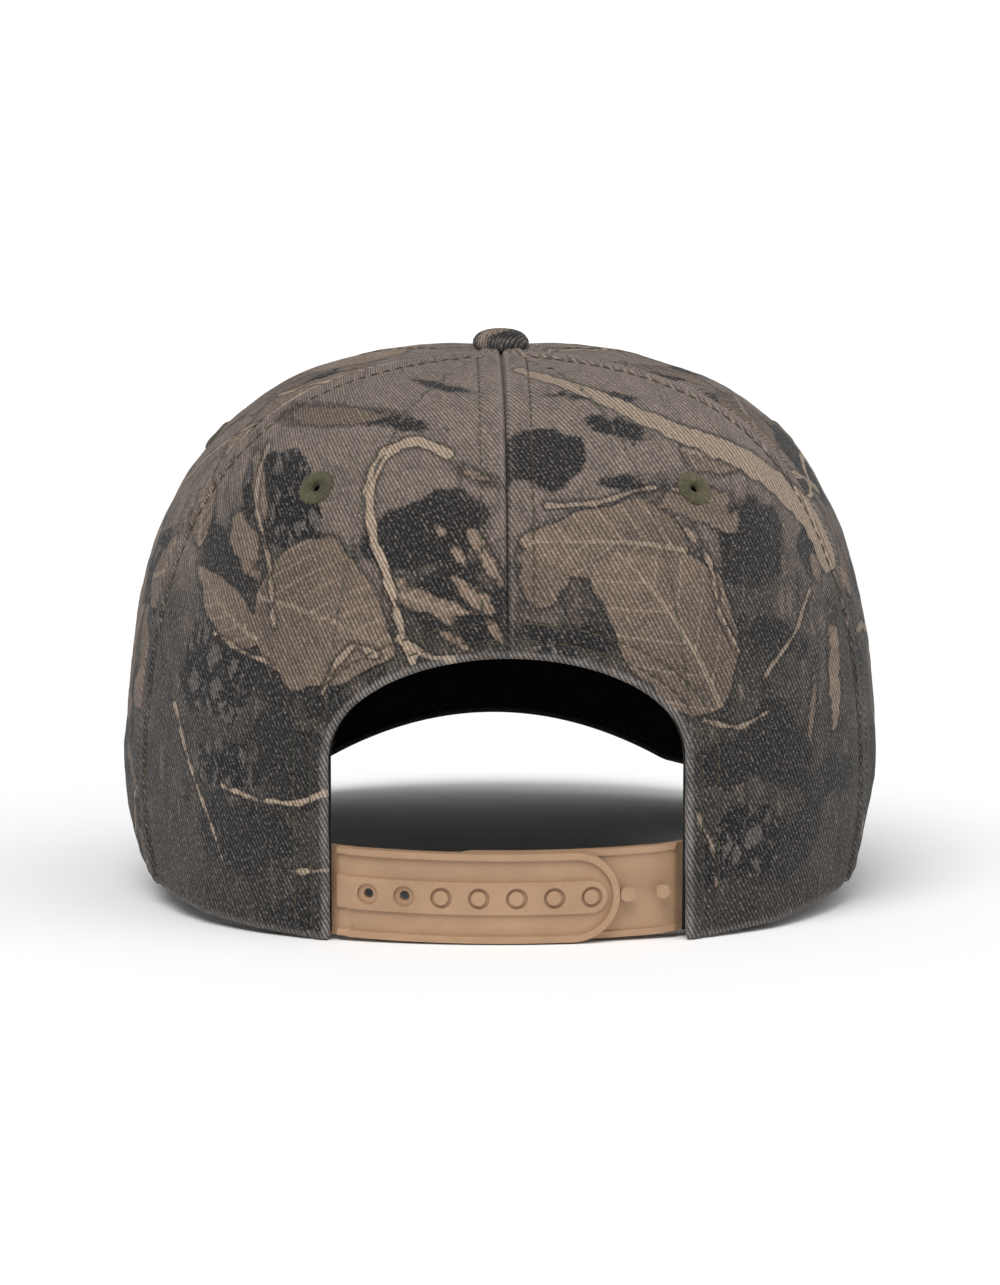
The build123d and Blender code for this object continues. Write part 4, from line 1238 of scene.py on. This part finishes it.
def make_strap_root(name, side, radius, depth, rim, band):
    """Web across a strap's bending line, from the sewn tab to the start of the raised rim."""
    azimuth = np.linspace(16, 36, 81)
    hem = polar(azimuth, crown_radius(azimuth, 0.0))
    t = np.gradient(hem, axis=0)
    tab = hem + unit(np.stack([t[:, 1], -t[:, 0]], -1)) * (depth + STRAP_WEB / 2)
    x = np.linspace(34.9, 41.5, 56)
    arc, straight = STRAP_CENTRE + np.sqrt(radius ** 2 - x ** 2), np.interp(x, tab[:, 0], tab[:, 1])
    y = mix((arc, straight), smooth(*STRAP_BEND, x))
    slope = np.gradient(y, x)
    outwards = np.stack([-slope, np.ones_like(x)], -1) / np.hypot(slope, 1.0)[:, None]
    level = np.linspace(-0.03, STRAP_HEIGHT + 0.03, 72)
    from_end = np.minimum(level, STRAP_HEIGHT - level)
    from_middle = np.abs(level - STRAP_HEIGHT / 2)
    raised = rim * smooth(STRAP_RIM + 0.15, STRAP_RIM - 0.15, from_end) * smooth(-0.05, 0.25, from_end)
    raised += band * smooth(STRAP_BAND / 2 + 0.15, STRAP_BAND / 2 - 0.15, from_middle)
    skin = STRAP_WEB / 2 + 0.03
    outer = skin + raised[None, :] * smooth(*STRAP_RAISED, x)[:, None]
    offset = np.concatenate([outer, np.full(outer.shape, -skin)], axis=1)
    up = np.concatenate([level, level[::-1]]) + STRAP_BOTTOM
    plan = np.stack([x, y], -1)[:, None, :] + outwards[:, None, :] * offset[..., None]
    points = np.concatenate([plan * [side, 1.0], np.broadcast_to(up[None, :, None], offset.shape + (1,))], -1)
    faces = tube_faces(*offset.shape)
    piece = make_object(name, points.reshape(-1, 3), turned_out(faces) if side < 0 else faces, STRAP, None)
    piece.data.set_sharp_from_angle(angle=math.radians(35))
    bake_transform(piece)


make_strap_root("outer_strap_root", 1.0, 100.0, 2.15, 0.9, 0.8)
make_strap_root("inner_strap_root", -1.0, 98.0, 4.15, 0.5, 0.0)


# ---- stage, light and camera, in metres
def make_floor():
    """One round pale sheet that curves up far away on every side."""
    flat, curve, rim = 3.0, 0.4, 0.5
    rings = [(0.05, 0.0), (0.6, 0.0), (1.6, 0.0), (flat, 0.0)]
    rings += [(flat + curve * math.sin(k), curve * (1 - math.cos(k)))
              for k in np.linspace(0, math.pi / 2, 14)[1:]]
    rings.append((flat + curve, rim))
    around = np.linspace(0, 2 * math.pi, 129)[:-1]
    points = [(r * math.cos(k), r * math.sin(k), z) for r, z in rings for k in around]
    faces = turned_out(tube_faces(len(rings), len(around), end=False))
    s = Shader("floor_paper")
    paper = s.finish(s.mix(s.noise(s.place(), 40.0), rgb(251, 251, 251), rgb(253, 253, 253)), 0.9, 0.05)
    make_object("floor", points, faces, paper, None, np.array)


def soft_sun(name, towards, power, width):
    """Large even light from one direction, as wide as a softbox of that many degrees."""
    light = bpy.data.lights.new(name, "SUN")
    light.energy, light.angle = power, math.radians(width)
    lamp = bpy.data.objects.new(name, light)
    lamp.rotation_euler = Vector(towards).to_track_quat("Z", "Y").to_euler()
    bpy.context.scene.collection.objects.link(lamp)


make_floor()
WORLD_STRENGTH = 0.34
world = bpy.data.worlds.new("studio")
world.use_nodes = True
world.node_tree.nodes["Background"].inputs["Color"].default_value = (1.0, 1.0, 1.0, 1.0)
world.node_tree.nodes["Background"].inputs["Strength"].default_value = WORLD_STRENGTH
bpy.context.scene.world = world
soft_sun("key", (0.35, 0.95, 1.25), 2.05, 38)
soft_sun("fill", (-0.8, 0.6, 1.1), 0.9, 70)
bpy.context.scene.view_settings.view_transform = "Standard"

CAMERA_DISTANCE = 1.2
CAMERA_ELEVATION = 11.55          # over the hem plane
CAMERA_AZIMUTH = 1.1              # towards the wearer's left, off the rear centre line
CAMERA_LENS = 139.2
AIM_HEIGHT = 50.35                # mm, on the crown's axis
look_at = np.array([0.0, 0.0, AIM_HEIGHT])
turn, swing = math.radians(CAMERA_ELEVATION), math.radians(CAMERA_AZIMUTH)
sight = np.array([math.cos(turn) * math.sin(swing), math.cos(turn) * math.cos(swing), math.sin(turn)])
camera = bpy.data.objects.new("camera", bpy.data.cameras.new("camera"))
camera.data.lens = CAMERA_LENS
camera.data.clip_start, camera.data.clip_end = 0.05, 20.0
camera.location = Vector(to_row(look_at + sight * CAMERA_DISTANCE / MM))
aim = Vector(to_row(look_at)) - camera.location
camera.rotation_mode = "QUATERNION"
camera.rotation_quaternion = aim.to_track_quat("-Z", "Y")
bpy.context.scene.collection.objects.link(camera)
bpy.context.scene.camera = camera
